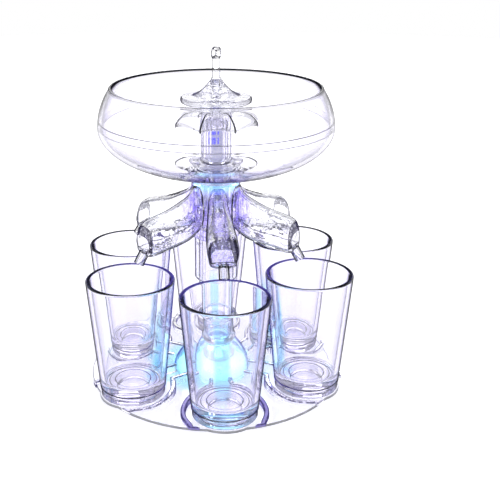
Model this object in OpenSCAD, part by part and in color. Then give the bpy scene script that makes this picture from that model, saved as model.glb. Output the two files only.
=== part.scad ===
// Party shot dispenser: a bowl on a column fills six shot glasses at once
// through a six-armed splitter when the centre handle is pulled up.
// Millimetres. Origin at the middle of the tray's underside, +Z up.

/* [Tray] */
// Radius of the tray
tray_r = 75.4; // [74:0.1:80]
// Thickness of the tray plate
tray_t = 1.5; // [1.2:0.1:3]
// Distance from the column axis to the middle of each glass
station_r = 58.5; // [57:0.1:62]
// Height of a fence at the column end, above the plate
fence_h = 5; // [3:0.1:8]
// Height of a fence at its tip, above the plate
fence_tip_h = 1.8; // [1:0.1:1.9]
// Thickness of a fence
fence_t = 2.2; // [1.5:0.1:3]
// Gap between a fence and the foot of its glass
fence_gap = 3.8; // [3.4:0.1:4.5]

/* [Shot glasses] */
// Outer radius of the glass mouth
glass_mouth_r = 25; // [22:0.1:26]
// Outer radius of the glass foot
glass_foot_r = 18.4; // [16:0.1:19]
// Height of a glass
glass_h = 70.5; // [60:0.1:72]
// Thickness of the glass wall
glass_wall = 2.4; // [1.6:0.1:3]
// Thickness of the solid glass bottom
glass_base_h = 9; // [5:0.1:14]

/* [Lamp under the column] */
// Foot radius of the bell that covers the lamp
bell_foot_r = 25.6; // [24.5:0.1:30]
// Height of the bell, above the plate
bell_h = 19.5; // [18:0.1:24]
// Wall of the bell
bell_wall = 1.8; // [1.2:0.1:2.4]
// Radius of a coin cell
cell_r = 10; // [8:0.1:10]
// Thickness of a coin cell
cell_t = 3.2; // [2:0.1:3.2]

/* [Column] */
// Outer radius of the column tube
column_r = 10.1; // [8:0.1:10.6]
// Wall of the column tube
column_wall = 1.8; // [1.2:0.1:3]
// Outer radius of the sleeve that plugs over the column
sleeve_r = 12.6; // [12.4:0.1:12.9]
// Height of the top of the column tube
column_top_z = 91.4; // [91:0.1:110]
// Length of the sleeve below the splitter
sleeve_len = 26; // [15:0.5:34]

/* [Splitter] */
// Distance from the axis to the outside of an arm's end
arm_reach = 49.9; // [46:0.1:52]
// Width of an arm at its end
arm_w = 18.5; // [14:0.1:20]
// Wall of the splitter
arm_wall = 1.6; // [1:0.1:2.2]
// Outer radius of a nozzle
nozzle_r = 3; // [2.5:0.1:3.6]
// Radius of a nozzle's bore
nozzle_bore_r = 1.7; // [1:0.1:1.9]
// Height of the splitter from its socket's rim to the top of its hub
splitter_h = 33.5; // [32:0.1:36]

/* [Bowl] */
// Outer radius of the bowl at its widest
bowl_r = 66.94; // [62:0.1:72]
// Depth of the lower half below the widest place
bowl_low_h = 27.9; // [25:0.1:29]
// Height of the upper wall above the widest place
bowl_rim_h = 22.7; // [14:0.1:26]
// Full height of the ellipse that the upper wall follows
bowl_high_h = 49.05; // [40:0.1:60]
// Thickness of the bowl wall
bowl_wall = 2.2; // [1.6:0.1:3]
// Depth of the lap where the two halves are joined
seam_lap = 4.1; // [2:0.1:5]
// Radius of the flat sump around the drain
sump_r = 24; // [20:0.1:28]

/* [Valve and handle] */
// Outer radius of the ribbed lift tube
lift_r = 8.8; // [8.4:0.1:9.5]
// Radius of the valve flange at its foot
flange_r = 15.6; // [13:0.1:18]
// Length of the lift tube
lift_len = 31.7; // [28:0.1:36]
// Radius of the umbrella that spreads the returning drink
umbrella_r = 25; // [20:0.1:28]
// Radius of the trumpet cap
cap_r = 20.25; // [16:0.1:24]
// Height of the trumpet cap
cap_h = 14; // [11:0.1:18]
// Radius of the handle rod
rod_r = 2.25; // [1.8:0.05:2.6]
// Height of the handle above the cap
handle_h = 18.2; // [12:0.1:26]

/* [Hidden] */

$fn = 96;
stations = 6;
slip = 0.1;      // clearance of a seated or sliding piece
loose = 0.3;     // clearance of a piece that is dropped in

acrylic = [0.86, 0.87, 0.98, 0.45];
blue_light = [0.2, 0.35, 1];
silicone = [0.93, 0.93, 0.97, 0.8];
board_green = [0.1, 0.4, 0.25];
steel = [0.75, 0.76, 0.78];
white_plastic = [0.92, 0.93, 0.95];

// Station k stands at -90 degrees, the front, and every 60 degrees from there.
function station_angle(k) = -90 + k * 360 / stations;

function ellipse_r(a, b, z, n, m) = a * pow(max(0, 1 - pow(abs(z) / b, m)), 1 / n);

// Heights of the column and what stands on it, from the column's top upward.
socket_depth = 5.4;     // how far the splitter's socket reaches down over the column
hub_low_z = column_top_z - socket_depth;
hub_top_z = hub_low_z + splitter_h;
hub_floor_z = hub_low_z + 8;
bowl_seat = 4.3;        // from the hub's rim up to the bowl's bottom
bowl_low_z = hub_top_z + bowl_seat;
bowl_mid_z = bowl_low_z + bowl_low_h;
bowl_rim_z = bowl_mid_z + bowl_rim_h;
bowl_floor_z = bowl_low_z + 3.2;
seam_z = bowl_mid_z + seam_lap + 0.5;
lift_low_z = bowl_floor_z + 1.7;
lift_top_z = lift_low_z + lift_len;
collar_top_z = lift_top_z + 2.6;
cap_low_z = collar_top_z + 1;
cap_top_z = cap_low_z + cap_h;
handle_top_z = cap_top_z + handle_h;

module at_stations() {
    for (k = [0 : stations - 1]) rotate(station_angle(k)) children();
}

// ---------------------------------------------------------------- tray

seat_lobe_r = glass_foot_r + 0.9;
fence_in_r = glass_foot_r + fence_gap;
fence_out_r = fence_in_r + fence_t;
fence_tip_r = 2.6;
fence_tip_a = 46;       // direction of the tip, seen from the glass
fence_root_a = 163;     // direction of the root
cover_r = 16;
button_r = 2.1;
button_place_r = 20.4;

// Plan of one fence, seen from the middle of its glass.
module fence_plan() {
    intersection() {
        difference() {
            circle(fence_out_r);
            circle(fence_in_r);
        }
        polygon([[0, 0], for (i = [0 : 6])
            let (a = fence_tip_a + i * (fence_root_a - fence_tip_a) / 6)
            2 * fence_out_r * [cos(a), sin(a)]]);
    }
    tip_mid_r = fence_in_r + fence_tip_r;
    translate(tip_mid_r * [cos(fence_tip_a), sin(fence_tip_a)]) circle(fence_tip_r);
    // straight rib from the curved wall in to the bell
    rib_mid_r = (fence_in_r + fence_out_r) / 2;
    rib_y = rib_mid_r * sin(fence_root_a);
    rib_x = rib_mid_r * cos(fence_root_a);
    rib_in_x = sqrt(pow(bell_foot_r + loose, 2) - pow(rib_y - fence_t / 2, 2)) - station_r;
    translate([rib_in_x, rib_y - fence_t / 2]) square([rib_x - rib_in_x + 0.5, fence_t]);
}

module base_tray() {
    fence_reach_r = tray_r + 1.2;
    fence_low_r = tray_r - 12;
    fence_in_z = tray_t + fence_h;
    fence_out_z = tray_t + fence_tip_h;
    color(acrylic) difference() {
        union() {
            cylinder(h = tray_t, r = tray_r);
            at_stations() translate([station_r, 0, 0]) cylinder(h = tray_t, r = seat_lobe_r);
            intersection() {
                at_stations() translate([station_r, 0, 0]) for (side = [0, 1])
                    mirror([0, side, 0]) linear_extrude(fence_in_z) fence_plan();
                rotate_extrude() polygon([
                    [bell_foot_r, 0],
                    [fence_reach_r, 0],
                    [fence_reach_r, fence_out_z],
                    [fence_low_r, fence_out_z],
                    [station_r - glass_foot_r, fence_in_z],
                    [bell_foot_r, fence_in_z]
                ]);
            }
        }
        translate([0, 0, -1]) cylinder(h = tray_t + 2, r = cover_r + loose);
        translate([button_place_r, 0, -1]) cylinder(h = tray_t + 2, r = button_r + slip);
    }
}

// ---------------------------------------------------------------- lamp

bell_neck_r = column_r + 2.6;
bell_top_z = tray_t + bell_h;
well_r = cell_r + 0.4;
well_wall = 1.8;
cells_z = tray_t + 0.9;
cells_top_z = cells_z + 2 * cell_t + slip;
board_z = cells_top_z + 1;
board_t = 1.2;
screw_place_r = 13.9;
screw_r = 0.95;
screw_head_r = 1.7;
screw_len = 5;
base_flange_r = bell_foot_r - bell_wall - loose;

// The bell's outline: a flared skirt that curves up to the neck.
function bell_r(u) = bell_neck_r + (bell_foot_r - bell_neck_r) * pow(cos(90 * u), 1.3);

module lamp_bell() {
    steps = 12;
    outer = [for (i = [0 : steps]) [bell_r(i / steps), tray_t + bell_h * i / steps]];
    inner = [for (i = [steps : -1 : 0])
        [bell_r(i / steps) - bell_wall, tray_t + (bell_h - bell_wall) * i / steps]];
    color(acrylic) rotate_extrude() polygon([each outer, [column_r - 2, bell_top_z],
        [column_r - 2, bell_top_z - bell_wall], each inner]);
}

module lamp_base() {
    color(white_plastic) difference() {
        union() {
            translate([0, 0, tray_t]) cylinder(h = 1.6, r = base_flange_r);
            translate([0, 0, tray_t]) cylinder(h = board_z - tray_t, r = well_r + well_wall);
            for (a = [90, 270]) rotate(a) translate([screw_place_r, 0, tray_t])
                cylinder(h = screw_len, r = 2 * screw_r + slip);
        }
        translate([0, 0, -1]) cylinder(h = board_z + 2, r = well_r);
        for (a = [90, 270]) rotate(a) translate([screw_place_r, 0, 0])
            cylinder(h = screw_len + 0.5, r = screw_r + slip / 2);
        // notch for the button's collar
        translate([button_place_r, 0, -1]) cylinder(h = 5, r = button_r + 1.3);
    }
}

module lamp_board() {
    color(board_green) translate([0, 0, board_z]) cylinder(h = board_t, r = well_r + well_wall);
}

led_r = 2.5;
led_ring_r = 6.5;

module led(r, h) {
    cylinder(h = h, r = r);
    translate([0, 0, h]) intersection() {
        sphere(r);
        translate([-r, -r, 0]) cube(2 * r);
    }
    cylinder(h = 1, r = r + 0.4);
}

module lamp_leds() {
    color(blue_light) for (a = [30, 150, 270]) rotate(a)
        translate([led_ring_r, 0, board_z + board_t]) led(led_r, 2.2);
}

module coin_cells() {
    color(steel) for (i = [0, 1]) translate([0, 0, cells_z + i * (cell_t + slip)]) {
        cylinder(h = cell_t - 0.4, r = cell_r - 0.5);
        translate([0, 0, 0.4]) cylinder(h = cell_t - 0.4, r = cell_r);
    }
}

module cell_contacts() {
    strip_w = 3;
    color(steel) {
        translate([-cell_r + 2, -strip_w / 2, tray_t + 0.05]) cube([2 * cell_r - 4, strip_w, 0.4]);
        translate([-strip_w / 2, -3, tray_t + 0.45]) cube([strip_w, 6, cells_z - tray_t - 0.45]);
        translate([-strip_w, -strip_w / 2, cells_top_z]) cube([2 * strip_w, strip_w, board_z - cells_top_z]);
    }
}

module cell_cover() {
    coin_slot_l = 10;
    coin_slot_w = 1.6;
    color(white_plastic) difference() {
        translate([0, 0, 0.1]) cylinder(h = tray_t - 0.1, r = cover_r);
        for (a = [90, 270]) rotate(a) translate([screw_place_r, 0, -1]) {
            cylinder(h = tray_t + 2, r = screw_r + loose);
            cylinder(h = 1.8, r = screw_head_r + slip);
        }
        // coin slot that turns the cover
        translate([-coin_slot_l / 2, -coin_slot_w / 2, -1]) cube([coin_slot_l, coin_slot_w, 1.6]);
    }
}

module cover_screws() {
    color(steel) for (a = [90, 270]) rotate(a) translate([screw_place_r, 0, 0.15]) difference() {
        union() {
            cylinder(h = 0.65, r = screw_head_r);
            cylinder(h = screw_len, r = screw_r);
        }
        for (turn = [0, 90]) rotate(turn) translate([-screw_head_r * 0.6, -0.2, -1])
            cube([screw_head_r * 1.2, 0.4, 1.4]);
    }
}

module switch_button() {
    color(white_plastic) translate([button_place_r, 0, 0]) {
        translate([0, 0, 0.3]) cylinder(h = tray_t, r = button_r);
        translate([0, 0, tray_t + 0.1]) cylinder(h = 0.8, r = button_r + 0.6);
    }
}

// ---------------------------------------------------------------- column

collar_h = 17;
foot_bead_h = 3;
top_bead_h = 3.5;

// Turned collar between the bell and the plain tube.
module column_collar() {
    collar_z = bell_top_z + collar_h;
    color(acrylic) rotate_extrude() polygon([
        [column_r + slip, bell_top_z],
        [bell_neck_r, bell_top_z],
        [bell_neck_r + 0.4, bell_top_z + foot_bead_h / 2],
        [bell_neck_r, bell_top_z + foot_bead_h],
        [bell_neck_r - 1.2, bell_top_z + foot_bead_h * 1.5],
        [bell_neck_r - 1.4, collar_z - top_bead_h - 1.5],
        [bell_neck_r - 0.6, collar_z - top_bead_h],
        [bell_neck_r + 0.2, collar_z - top_bead_h + 1],
        [bell_neck_r + 0.2, collar_z - 1],
        [bell_neck_r - 0.6, collar_z],
        [column_r + slip, collar_z]
    ]);
}

module column_tube() {
    color(acrylic) translate([0, 0, bell_top_z]) difference() {
        cylinder(h = column_top_z - bell_top_z, r = column_r);
        translate([0, 0, 2]) cylinder(h = column_top_z - bell_top_z, r = column_r - column_wall);
    }
}

module column_sleeve() {
    lip = 1.5;
    bore = column_r + loose;
    sleeve_z = hub_low_z - sleeve_len;
    color(acrylic) rotate_extrude() polygon([
        [bore, sleeve_z + lip],
        [bore + lip * 0.3, sleeve_z + lip * 0.3],
        [bore + lip * 0.7, sleeve_z],
        [sleeve_r - lip * 0.6, sleeve_z],
        [sleeve_r - lip * 0.2, sleeve_z + lip * 0.3],
        [sleeve_r, sleeve_z + lip],
        [sleeve_r, hub_low_z],
        [bore, hub_low_z]
    ]);
}

// ---------------------------------------------------------------- splitter

hub_r = sleeve_r + 0.8;
hub_bore_r = hub_r - 2;
socket_r = column_r + loose;
part_rise = 3.2;      // height of the joint line above an arm's lower edge
seam_gap = 0.1;       // glue gap between the two moulded halves

// Top and lower outlines of an arm over the distance from the axis, as heights above the hub's lower end,
// and its half width, drawn for an arm of drawn_reach and 2 * drawn_half_w.
drawn_reach = 49.9;
drawn_half_w = 9.25;
arm_top = [[11, 32.6], [14, 32.2], [15.5, 29.4], [17.4, 27.2], [22.2, 24.4], [31.9, 20.2],
    [41.3, 17.9], [46.5, 16.2], [48.6, 13.8], [49.9, 9]];
arm_low = [[11, 6.4], [14, 6.4], [15.5, 5.2], [21.8, 1.9], [29.5, 0.3], [38.7, -1.2], [47.8, -2.4],
    [49.9, -1.2]];
arm_half_w = [[11, 5.8], [14, 6.1], [22, 7.6], [32, 8.8], [42, 9.25], [48, 8.9], [49.9, 7.4]];
hub_stop = 13.9;
arm_stops = [14, 15.5, 17.4, 22.2, 31.9, 41.3, 46.5];
end_stops = [48.6, 49.9];
wall_start = end_stops[0] - 0.6 * arm_wall;     // where a hood's end turns solid
wall_stops = [wall_start, wall_start + 0.1];
arch_points = 9;

function top_z(r) = hub_low_z + lookup(r, arm_top);
function low_z(r) = hub_low_z + lookup(r, arm_low);
function joint_z(r) = low_z(r) + part_rise;
function half_w(r) = lookup(r, arm_half_w) * arm_w / (2 * drawn_half_w);
hub_split_z = joint_z(hub_stop);
window_half = half_w(hub_stop) - arm_wall - 0.6;

// A hood starts on the hub's round wall and follows its own stops from there.
function hood_x(r, y) =
    r == hub_stop ? sqrt(pow(hub_r + seam_gap, 2) - y * y) : r * arm_reach / drawn_reach;

// A hood's outline at distance r, from one joint edge over the top to the other.
function arch(r, inset) =
    let (
        foot = joint_z(r),
        peak = top_z(r) - inset,
        half = half_w(r) - inset
    )
    [for (i = [0 : arch_points - 1])
        let (
            a = 180 * i / (arch_points - 1),
            s = pow(sin(a), 0.62),
            y = half * sign(cos(a)) * pow(abs(cos(a)), 0.5) * (1 - 0.1 * s)
        )
        [hood_x(r, y), y, foot + (peak - foot) * s]];

function flipped(list) = [for (i = [len(list) - 1 : -1 : 0]) list[i]];

// The inner edge of the wall, drawn down to a shallow crown where the arm's end is solid.
function chord(r) =
    let (half = half_w(r) - arm_wall)
    [for (i = [arch_points - 1 : -1 : 0])
        let (across = 1 - 2 * i / (arch_points - 1))
        [hood_x(r, half * across), half * across, joint_z(r) + 0.4 * (1 - across * across)]];

// The upper shell of an arm: a hood with an end wall, open below and at the hub.
module arm_hood() {
    rings = concat(
        [for (r = concat([hub_stop], arm_stops, [wall_start])) concat(arch(r, 0), flipped(arch(r, arm_wall)))],
        [for (r = concat([wall_stops[1]], end_stops)) concat(arch(r, 0), chord(r))]
    );
    n = len(rings);
    m = 2 * arch_points;
    sides = [for (i = [0 : n - 2]) for (j = [0 : m - 1])
        let (a = i * m + j, b = i * m + (j + 1) % m)
        [a + m, b + m, b, a]];
    // each end is closed by a strip of faces between the outer and the inner edge
    function cap(base) = [for (j = [0 : arch_points - 2])
        [base + j, base + j + 1, base + m - 2 - j, base + m - 1 - j]];
    polyhedron(points = [for (ring = rings) each ring], convexity = 6,
        faces = [each sides, for (f = cap((n - 1) * m)) flipped(f), each cap(0)]);
}

module arm_hoods() {
    color(acrylic) at_stations() arm_hood();
}

module splitter_hub() {
    window_top = top_z(hub_stop) - arm_wall - 2;
    color(acrylic) difference() {
        rotate_extrude() polygon([
            [hub_bore_r, hub_split_z],
            [hub_r, hub_split_z],
            [hub_r, hub_top_z - 0.8],
            [hub_r - 0.8, hub_top_z],
            [hub_bore_r, hub_top_z]
        ]);
        at_stations() translate([hub_bore_r - 1, -window_half, hub_split_z - 1])
            cube([hub_r - hub_bore_r + 1.6, 2 * window_half, window_top - hub_split_z + 1]);
    }
}

nozzle_lean = 32;
nozzle_len = 10.4;
nozzle_top_z = joint_z(arm_stops[len(arm_stops) - 1]) - 2 * seam_gap;

module at_nozzle() {
    nozzle_foot_z = joint_z(end_stops[0]) + 1;
    translate([arm_reach - 2.6, 0, nozzle_foot_z]) rotate([0, 180 - nozzle_lean, 0]) children();
}

// The lower shell of an arm: a trough cut from its side view and its plan.
module arm_trough(inset) {
    stops = concat([hub_bore_r + 0.5], arm_stops, wall_stops, end_stops);
    last = drawn_reach - inset * drawn_reach / arm_reach;
    places = [for (r = stops) min(r, last) * arm_reach / drawn_reach];
    plan = [for (i = [0 : len(stops) - 1])
        [places[i], half_w(stops[i]) - inset]];
    lid_rise = inset > 0 ? 1 : 0;
    joint = [for (i = [0 : len(stops) - 1]) [places[i], joint_z(stops[i]) - seam_gap + lid_rise]];
    belly = [for (i = [0 : len(stops) - 1]) [places[i], low_z(stops[i]) + inset]];
    intersection() {
        translate([0, 0, hub_low_z - splitter_h / 3]) linear_extrude(splitter_h)
            polygon(concat(plan, [for (p = flipped(plan)) [p[0], -p[1]]]));
        rotate([90, 0, 0]) linear_extrude(2 * arm_w, center = true)
            polygon(concat(joint, flipped(belly)));
    }
}

module splitter_base() {
    color(acrylic) difference() {
        union() {
            rotate_extrude() polygon([
                [socket_r, hub_low_z],
                [hub_r, hub_low_z],
                [hub_r, hub_split_z - seam_gap],
                [hub_bore_r, hub_split_z - seam_gap],
                [hub_bore_r, hub_floor_z],
                [0, hub_floor_z + 0.6],
                [0, column_top_z + 0.2],
                [socket_r, column_top_z + 0.2]
            ]);
            at_stations() {
                arm_trough(0);
                // a nozzle is cut level under the joint line, so that the hood's end stands clear of it
                intersection() {
                    at_nozzle() cylinder(h = nozzle_len, r = nozzle_r);
                    translate([0, -arm_w / 2, 0]) cube([2 * arm_reach, arm_w, nozzle_top_z]);
                }
            }
        }
        at_stations() {
            arm_trough(arm_wall);
            at_nozzle() translate([0, 0, -1]) cylinder(h = nozzle_len + 2, r = nozzle_bore_r);
            translate([hub_bore_r - 1, -window_half, hub_floor_z])
                cube([hub_r - hub_bore_r + 1.6, 2 * window_half, 4]);
        }
    }
}

// ---------------------------------------------------------------- bowl

neck_r = hub_bore_r - loose;
neck_bore_r = neck_r - 1.5;
neck_len = 15.5;
neck_low_z = hub_top_z - neck_len;
neck_shoulder_r = neck_r + 1.5;
shoulder_z = hub_top_z + 1.4;

function low_r(z, inset) = ellipse_r(bowl_r - inset, bowl_low_h - inset, bowl_mid_z - z, 2.1, 1.94);
function high_r(z, inset) = ellipse_r(bowl_r - inset, bowl_high_h, z - bowl_mid_z, 2, 2);
function wall_r(z, inset) = z < bowl_mid_z ? low_r(z, inset) : high_r(z, inset);

module bowl_lower() {
    // heights that crowd together towards the bottom, where the outline turns flat
    outer_low = [for (i = [0 : 14]) bowl_low_z + bowl_low_h * (1 - cos(90 * i / 14))];
    inner_floor_z = bowl_mid_z - (bowl_low_h - bowl_wall);
    inner_low = [for (i = [14 : -1 : 1])
        inner_floor_z + (bowl_low_h - bowl_wall) * (1 - cos(90 * i / 14))];
    lap_z = seam_z - seam_lap;
    mid_inset = bowl_wall / 2;
    outer = [for (z = outer_low) if (low_r(z, 0) > neck_shoulder_r + 1) [low_r(z, 0), z]];
    outer_lip = [for (i = [1 : 3])
        let (z = bowl_mid_z + (seam_z - bowl_mid_z) * i / 3)
        [high_r(z, 0), z]];
    inner = [for (z = inner_low) if (low_r(z, bowl_wall) > sump_r && z < lap_z)
        [low_r(z, bowl_wall), z]];
    color(acrylic) rotate_extrude() polygon([
        [neck_bore_r, neck_low_z],
        [neck_r, neck_low_z],
        [neck_r, shoulder_z - 0.4],
        [neck_shoulder_r, shoulder_z],
        [neck_shoulder_r, bowl_low_z + 0.6],
        each outer,
        each outer_lip,
        [wall_r(seam_z, mid_inset), seam_z],
        [wall_r(lap_z, mid_inset), lap_z],
        [wall_r(lap_z, bowl_wall), lap_z],
        each inner,
        [sump_r, inner[len(inner) - 1][1] - 0.3],
        [sump_r - 0.6, bowl_floor_z],
        [neck_bore_r, bowl_floor_z]
    ]);
}

module bowl_upper() {
    lap_z = seam_z - seam_lap;
    mid_inset = bowl_wall / 2;
    rim_round = bowl_wall / 2;
    steps = 8;
    outer = [for (i = [0 : steps])
        let (z = seam_z + slip + (bowl_rim_z - rim_round - seam_z) * i / steps)
        [high_r(z, 0), z]];
    rim_mid_r = high_r(bowl_rim_z - rim_round, rim_round);
    rim = [for (a = [20 : 20 : 160])
        [rim_mid_r + rim_round * cos(a), bowl_rim_z - rim_round + rim_round * sin(a)]];
    inner = [for (i = [steps : -1 : 0])
        let (z = lap_z + slip + (bowl_rim_z - rim_round - lap_z) * i / steps)
        [wall_r(z, bowl_wall), z]];
    color(acrylic) rotate_extrude() polygon([
        [wall_r(lap_z, mid_inset + slip), lap_z + slip],
        [wall_r(seam_z, mid_inset + slip), seam_z + slip],
        each outer,
        each rim,
        each inner
    ]);
}

module bowl_seal() {
    color(silicone) rotate_extrude() polygon([
        [neck_r + slip, hub_top_z + slip],
        [hub_r - 0.8, hub_top_z + slip],
        [hub_r - 0.8, shoulder_z - 0.5],
        [neck_r + slip, shoulder_z - 0.5]
    ]);
}

// ---------------------------------------------------------------- lamp post in the bowl

post_r = lift_r - 2;
post_wall = 1;
post_top_z = lift_top_z - 4;
dome_h = post_r / 2;
spider_z = neck_low_z + 1;
spider_h = 3;
spoke_w = 1.8;
post_board_l = 30.9;
post_board_w = 8.6;
post_board_t = 1;
button_cell_r = 3.9;
button_cell_t = 3.7;

module light_post() {
    dome_z = post_top_z - dome_h;
    ring_r = neck_bore_r - slip;
    color(acrylic) {
        rotate_extrude() polygon([
            [post_r - post_wall, spider_z],
            [post_r, spider_z],
            for (a = [0 : 10 : 90]) [post_r * cos(a), dome_z + dome_h * sin(a)],
            [0, dome_z],
            [post_r - post_wall, dome_z]
        ]);
        // ring and spokes that hold the post in the neck and let the drink past
        translate([0, 0, spider_z]) difference() {
            cylinder(h = spider_h, r = ring_r);
            translate([0, 0, -1]) cylinder(h = spider_h + 2, r = ring_r - post_wall);
        }
        for (a = [0, 120, 240]) rotate(a) translate([post_r - post_wall / 2, -spoke_w / 2, spider_z])
            cube([ring_r - post_r, spoke_w, spider_h]);
    }
}

module post_plug() {
    color(silicone) translate([0, 0, spider_z - 1]) {
        cylinder(h = 1, r = post_r);
        translate([0, 0, 1]) cylinder(h = spider_h, r = post_r - post_wall - slip);
    }
}

module post_board() {
    color(board_green) translate([-post_board_w / 2, 0.6, post_top_z - 4 - post_board_l])
        cube([post_board_w, post_board_t, post_board_l]);
}

module post_leds() {
    side = 3.2;
    drops = [14.1, 8.8];
    color(blue_light) for (drop = drops) translate([-0.9, 0.55, post_top_z - drop]) rotate([90, 0, 0]) {
        translate([-side / 2, -side / 2, 0]) cube([side, side, 1.2]);
        translate([0, 0, 1.2]) cylinder(h = 0.6, r = 1.3);
    }
}

module post_cells() {
    pitch = button_cell_t + 0.5;
    color(steel) for (i = [0 : 2]) translate([0, 0, spider_z + spider_h + 0.2 + i * pitch]) {
        cylinder(h = button_cell_t, r = button_cell_r);
        cylinder(h = pitch - slip, r = button_cell_r - 0.7);
    }
}

// ---------------------------------------------------------------- valve and handle

module lift_tube() {
    bore = post_r + loose;
    ribs = 12;
    color(acrylic) difference() {
        union() {
            translate([0, 0, lift_low_z]) cylinder(h = lift_top_z - lift_low_z, r = lift_r - 0.5);
            translate([0, 0, lift_low_z]) rotate_extrude() polygon([
                [0, 0],
                [flange_r, 0],
                [flange_r, 1],
                [flange_r - 1, 1.6],
                [lift_r + 1.5, 2.2],
                [lift_r - 0.6, 4.2],
                [0, 4.2]
            ]);
            for (i = [0 : ribs - 1]) rotate(i * 360 / ribs) translate([lift_r - 0.9, -0.7, lift_low_z])
                cube([0.9, 1.4, lift_top_z - lift_low_z - 3]);
        }
        translate([0, 0, lift_low_z - 1]) cylinder(h = post_top_z - lift_low_z + 2, r = bore);
        translate([0, 0, lift_top_z - 6]) cylinder(h = 10, r = rod_r + slip);
    }
}

module valve_seal() {
    color(silicone) translate([0, 0, bowl_floor_z + slip]) difference() {
        cylinder(h = lift_low_z - bowl_floor_z - 2 * slip, r = flange_r - 1.5);
        translate([0, 0, -1]) cylinder(h = 4, r = neck_bore_r + 0.8);
    }
}

collar_r = lift_r + 1.7;

module tube_collar() {
    color(acrylic) rotate_extrude() polygon([
        [rod_r + slip, lift_top_z + slip],
        [collar_r - 0.9, lift_top_z + slip],
        [collar_r, lift_top_z + 1],
        [collar_r, collar_top_z - 0.6],
        [collar_r - 0.7, collar_top_z],
        [rod_r + slip, collar_top_z]
    ]);
}

gores = 8;
gore_turn = 65;
umbrella_top_r = lift_r + 0.6;
umbrella_top_z = lift_top_z - 0.4;
umbrella_h = 7;
umbrella_rim_z = umbrella_top_z - umbrella_h;
umbrella_t = 1.1;

function umbrella_z(u, a) =
    let (between = abs(sin((a - gore_turn) * gores / 2)))
    umbrella_rim_z + umbrella_h * sqrt(max(0, 1 - pow(u, 2.1)))
        + 1.3 * pow(u, 2) * between;

function umbrella_edge(a) = umbrella_r - 1.2 * abs(sin((a - gore_turn) * gores / 2));

module umbrella() {
    around = gores * 6;
    rings = 9;
    function spot(i, j, drop) =
        let (
            a = 360 * j / around,
            u = sin(90 * i / rings),
            r = umbrella_top_r + (umbrella_edge(a) - umbrella_top_r) * u
        )
        [r * cos(a), r * sin(a), umbrella_z(u, a) - drop];
    top = [for (i = [0 : rings]) for (j = [0 : around - 1]) spot(i, j, 0)];
    low = [for (i = [0 : rings]) for (j = [0 : around - 1]) spot(i, j, umbrella_t)];
    n = around;
    m = (rings + 1) * around;
    function quad(i, j, base, flip) =
        let (a = base + i * n + j, b = base + i * n + (j + 1) % n)
        flip ? [a, b, b + n, a + n] : [a, a + n, b + n, b];
    color(acrylic) polyhedron(points = concat(top, low), faces = [
        for (i = [0 : rings - 1]) for (j = [0 : n - 1]) quad(i, j, 0, false),
        for (i = [0 : rings - 1]) for (j = [0 : n - 1]) quad(i, j, m, true),
        for (j = [0 : n - 1]) [j, (j + 1) % n, m + (j + 1) % n, m + j],
        for (j = [0 : n - 1])
            let (a = rings * n + j, b = rings * n + (j + 1) % n)
            [a, m + a, m + b, b]
    ], convexity = 6);
}

cap_rim_t = 4.6;

module trumpet_cap() {
    steps = 10;
    flare = [for (i = [1 : steps])
        let (u = i / steps)
        [cap_r - 1 - (cap_r - rod_r - 1.9) * u, cap_low_z + cap_rim_t + (cap_h - cap_rim_t) * pow(u, 2.4)]];
    color(acrylic) rotate_extrude() polygon([
        [rod_r + slip, collar_top_z + slip],
        [collar_r - 1.5, collar_top_z + slip],
        [collar_r, cap_low_z + 0.6],
        [cap_r - 3, cap_low_z],
        [cap_r - 0.8, cap_low_z + 0.7],
        [cap_r, cap_low_z + 2],
        [cap_r, cap_low_z + cap_rim_t - 1.6],
        [cap_r - 0.4, cap_low_z + cap_rim_t - 0.4],
        [cap_r - 1, cap_low_z + cap_rim_t],
        each flare,
        [rod_r + slip, cap_top_z]
    ]);
}

eye_r = 3.6;
eye_hole_r = 1.9;
eye_t = 2.6;
eye_turn = 55;

module pull_handle() {
    rod_low_z = post_top_z + 1.1;
    color(acrylic) difference() {
        union() {
            translate([0, 0, rod_low_z]) cylinder(h = handle_top_z - 2 * eye_r + 0.8 - rod_low_z, r = rod_r);
            translate([0, 0, cap_top_z + slip]) cylinder(h = 1, r = rod_r + 0.7);
            translate([0, 0, handle_top_z - eye_r]) rotate([90, 0, eye_turn])
                cylinder(h = eye_t, r = eye_r, center = true);
        }
        translate([0, 0, handle_top_z - eye_r]) rotate([90, 0, eye_turn])
            cylinder(h = 2 * eye_t, r = eye_hole_r, center = true);
    }
}

// ---------------------------------------------------------------- glasses

module shot_glass(k) {
    foot_round = 1;
    punt_r = 9.7;
    punt_h = 1.6;
    step_z = 4.6;
    rim_round = glass_wall / 2;
    taper = (glass_mouth_r - glass_foot_r - 0.4) / (glass_h - step_z);
    inner_foot_r = glass_foot_r + 0.4 + taper * (glass_base_h - step_z) - glass_wall;
    floor_round = 3;
    seat = [station_r, 0, tray_t + slip / 2];
    color(acrylic) rotate(station_angle(k)) translate(seat) rotate_extrude() polygon([
        [0, punt_h],
        for (a = [75 : -15 : 0]) [punt_r * cos(a), punt_h * sin(a)],
        [glass_foot_r - foot_round, 0],
        for (a = [-60 : 30 : 0])
            [glass_foot_r - foot_round + foot_round * cos(a), foot_round + foot_round * sin(a)],
        [glass_foot_r, step_z - 0.6],
        [glass_foot_r + 0.4, step_z],
        for (a = [0 : 30 : 180])
            [glass_mouth_r - rim_round + rim_round * cos(a), glass_h - rim_round + rim_round * sin(a)],
        [inner_foot_r, glass_base_h + floor_round],
        for (a = [-15 : -15 : -75])
            [inner_foot_r - floor_round * (1 - cos(a)), glass_base_h + floor_round * (1 + sin(a))],
        [inner_foot_r - floor_round, glass_base_h],
        [0, glass_base_h]
    ]);
}

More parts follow.
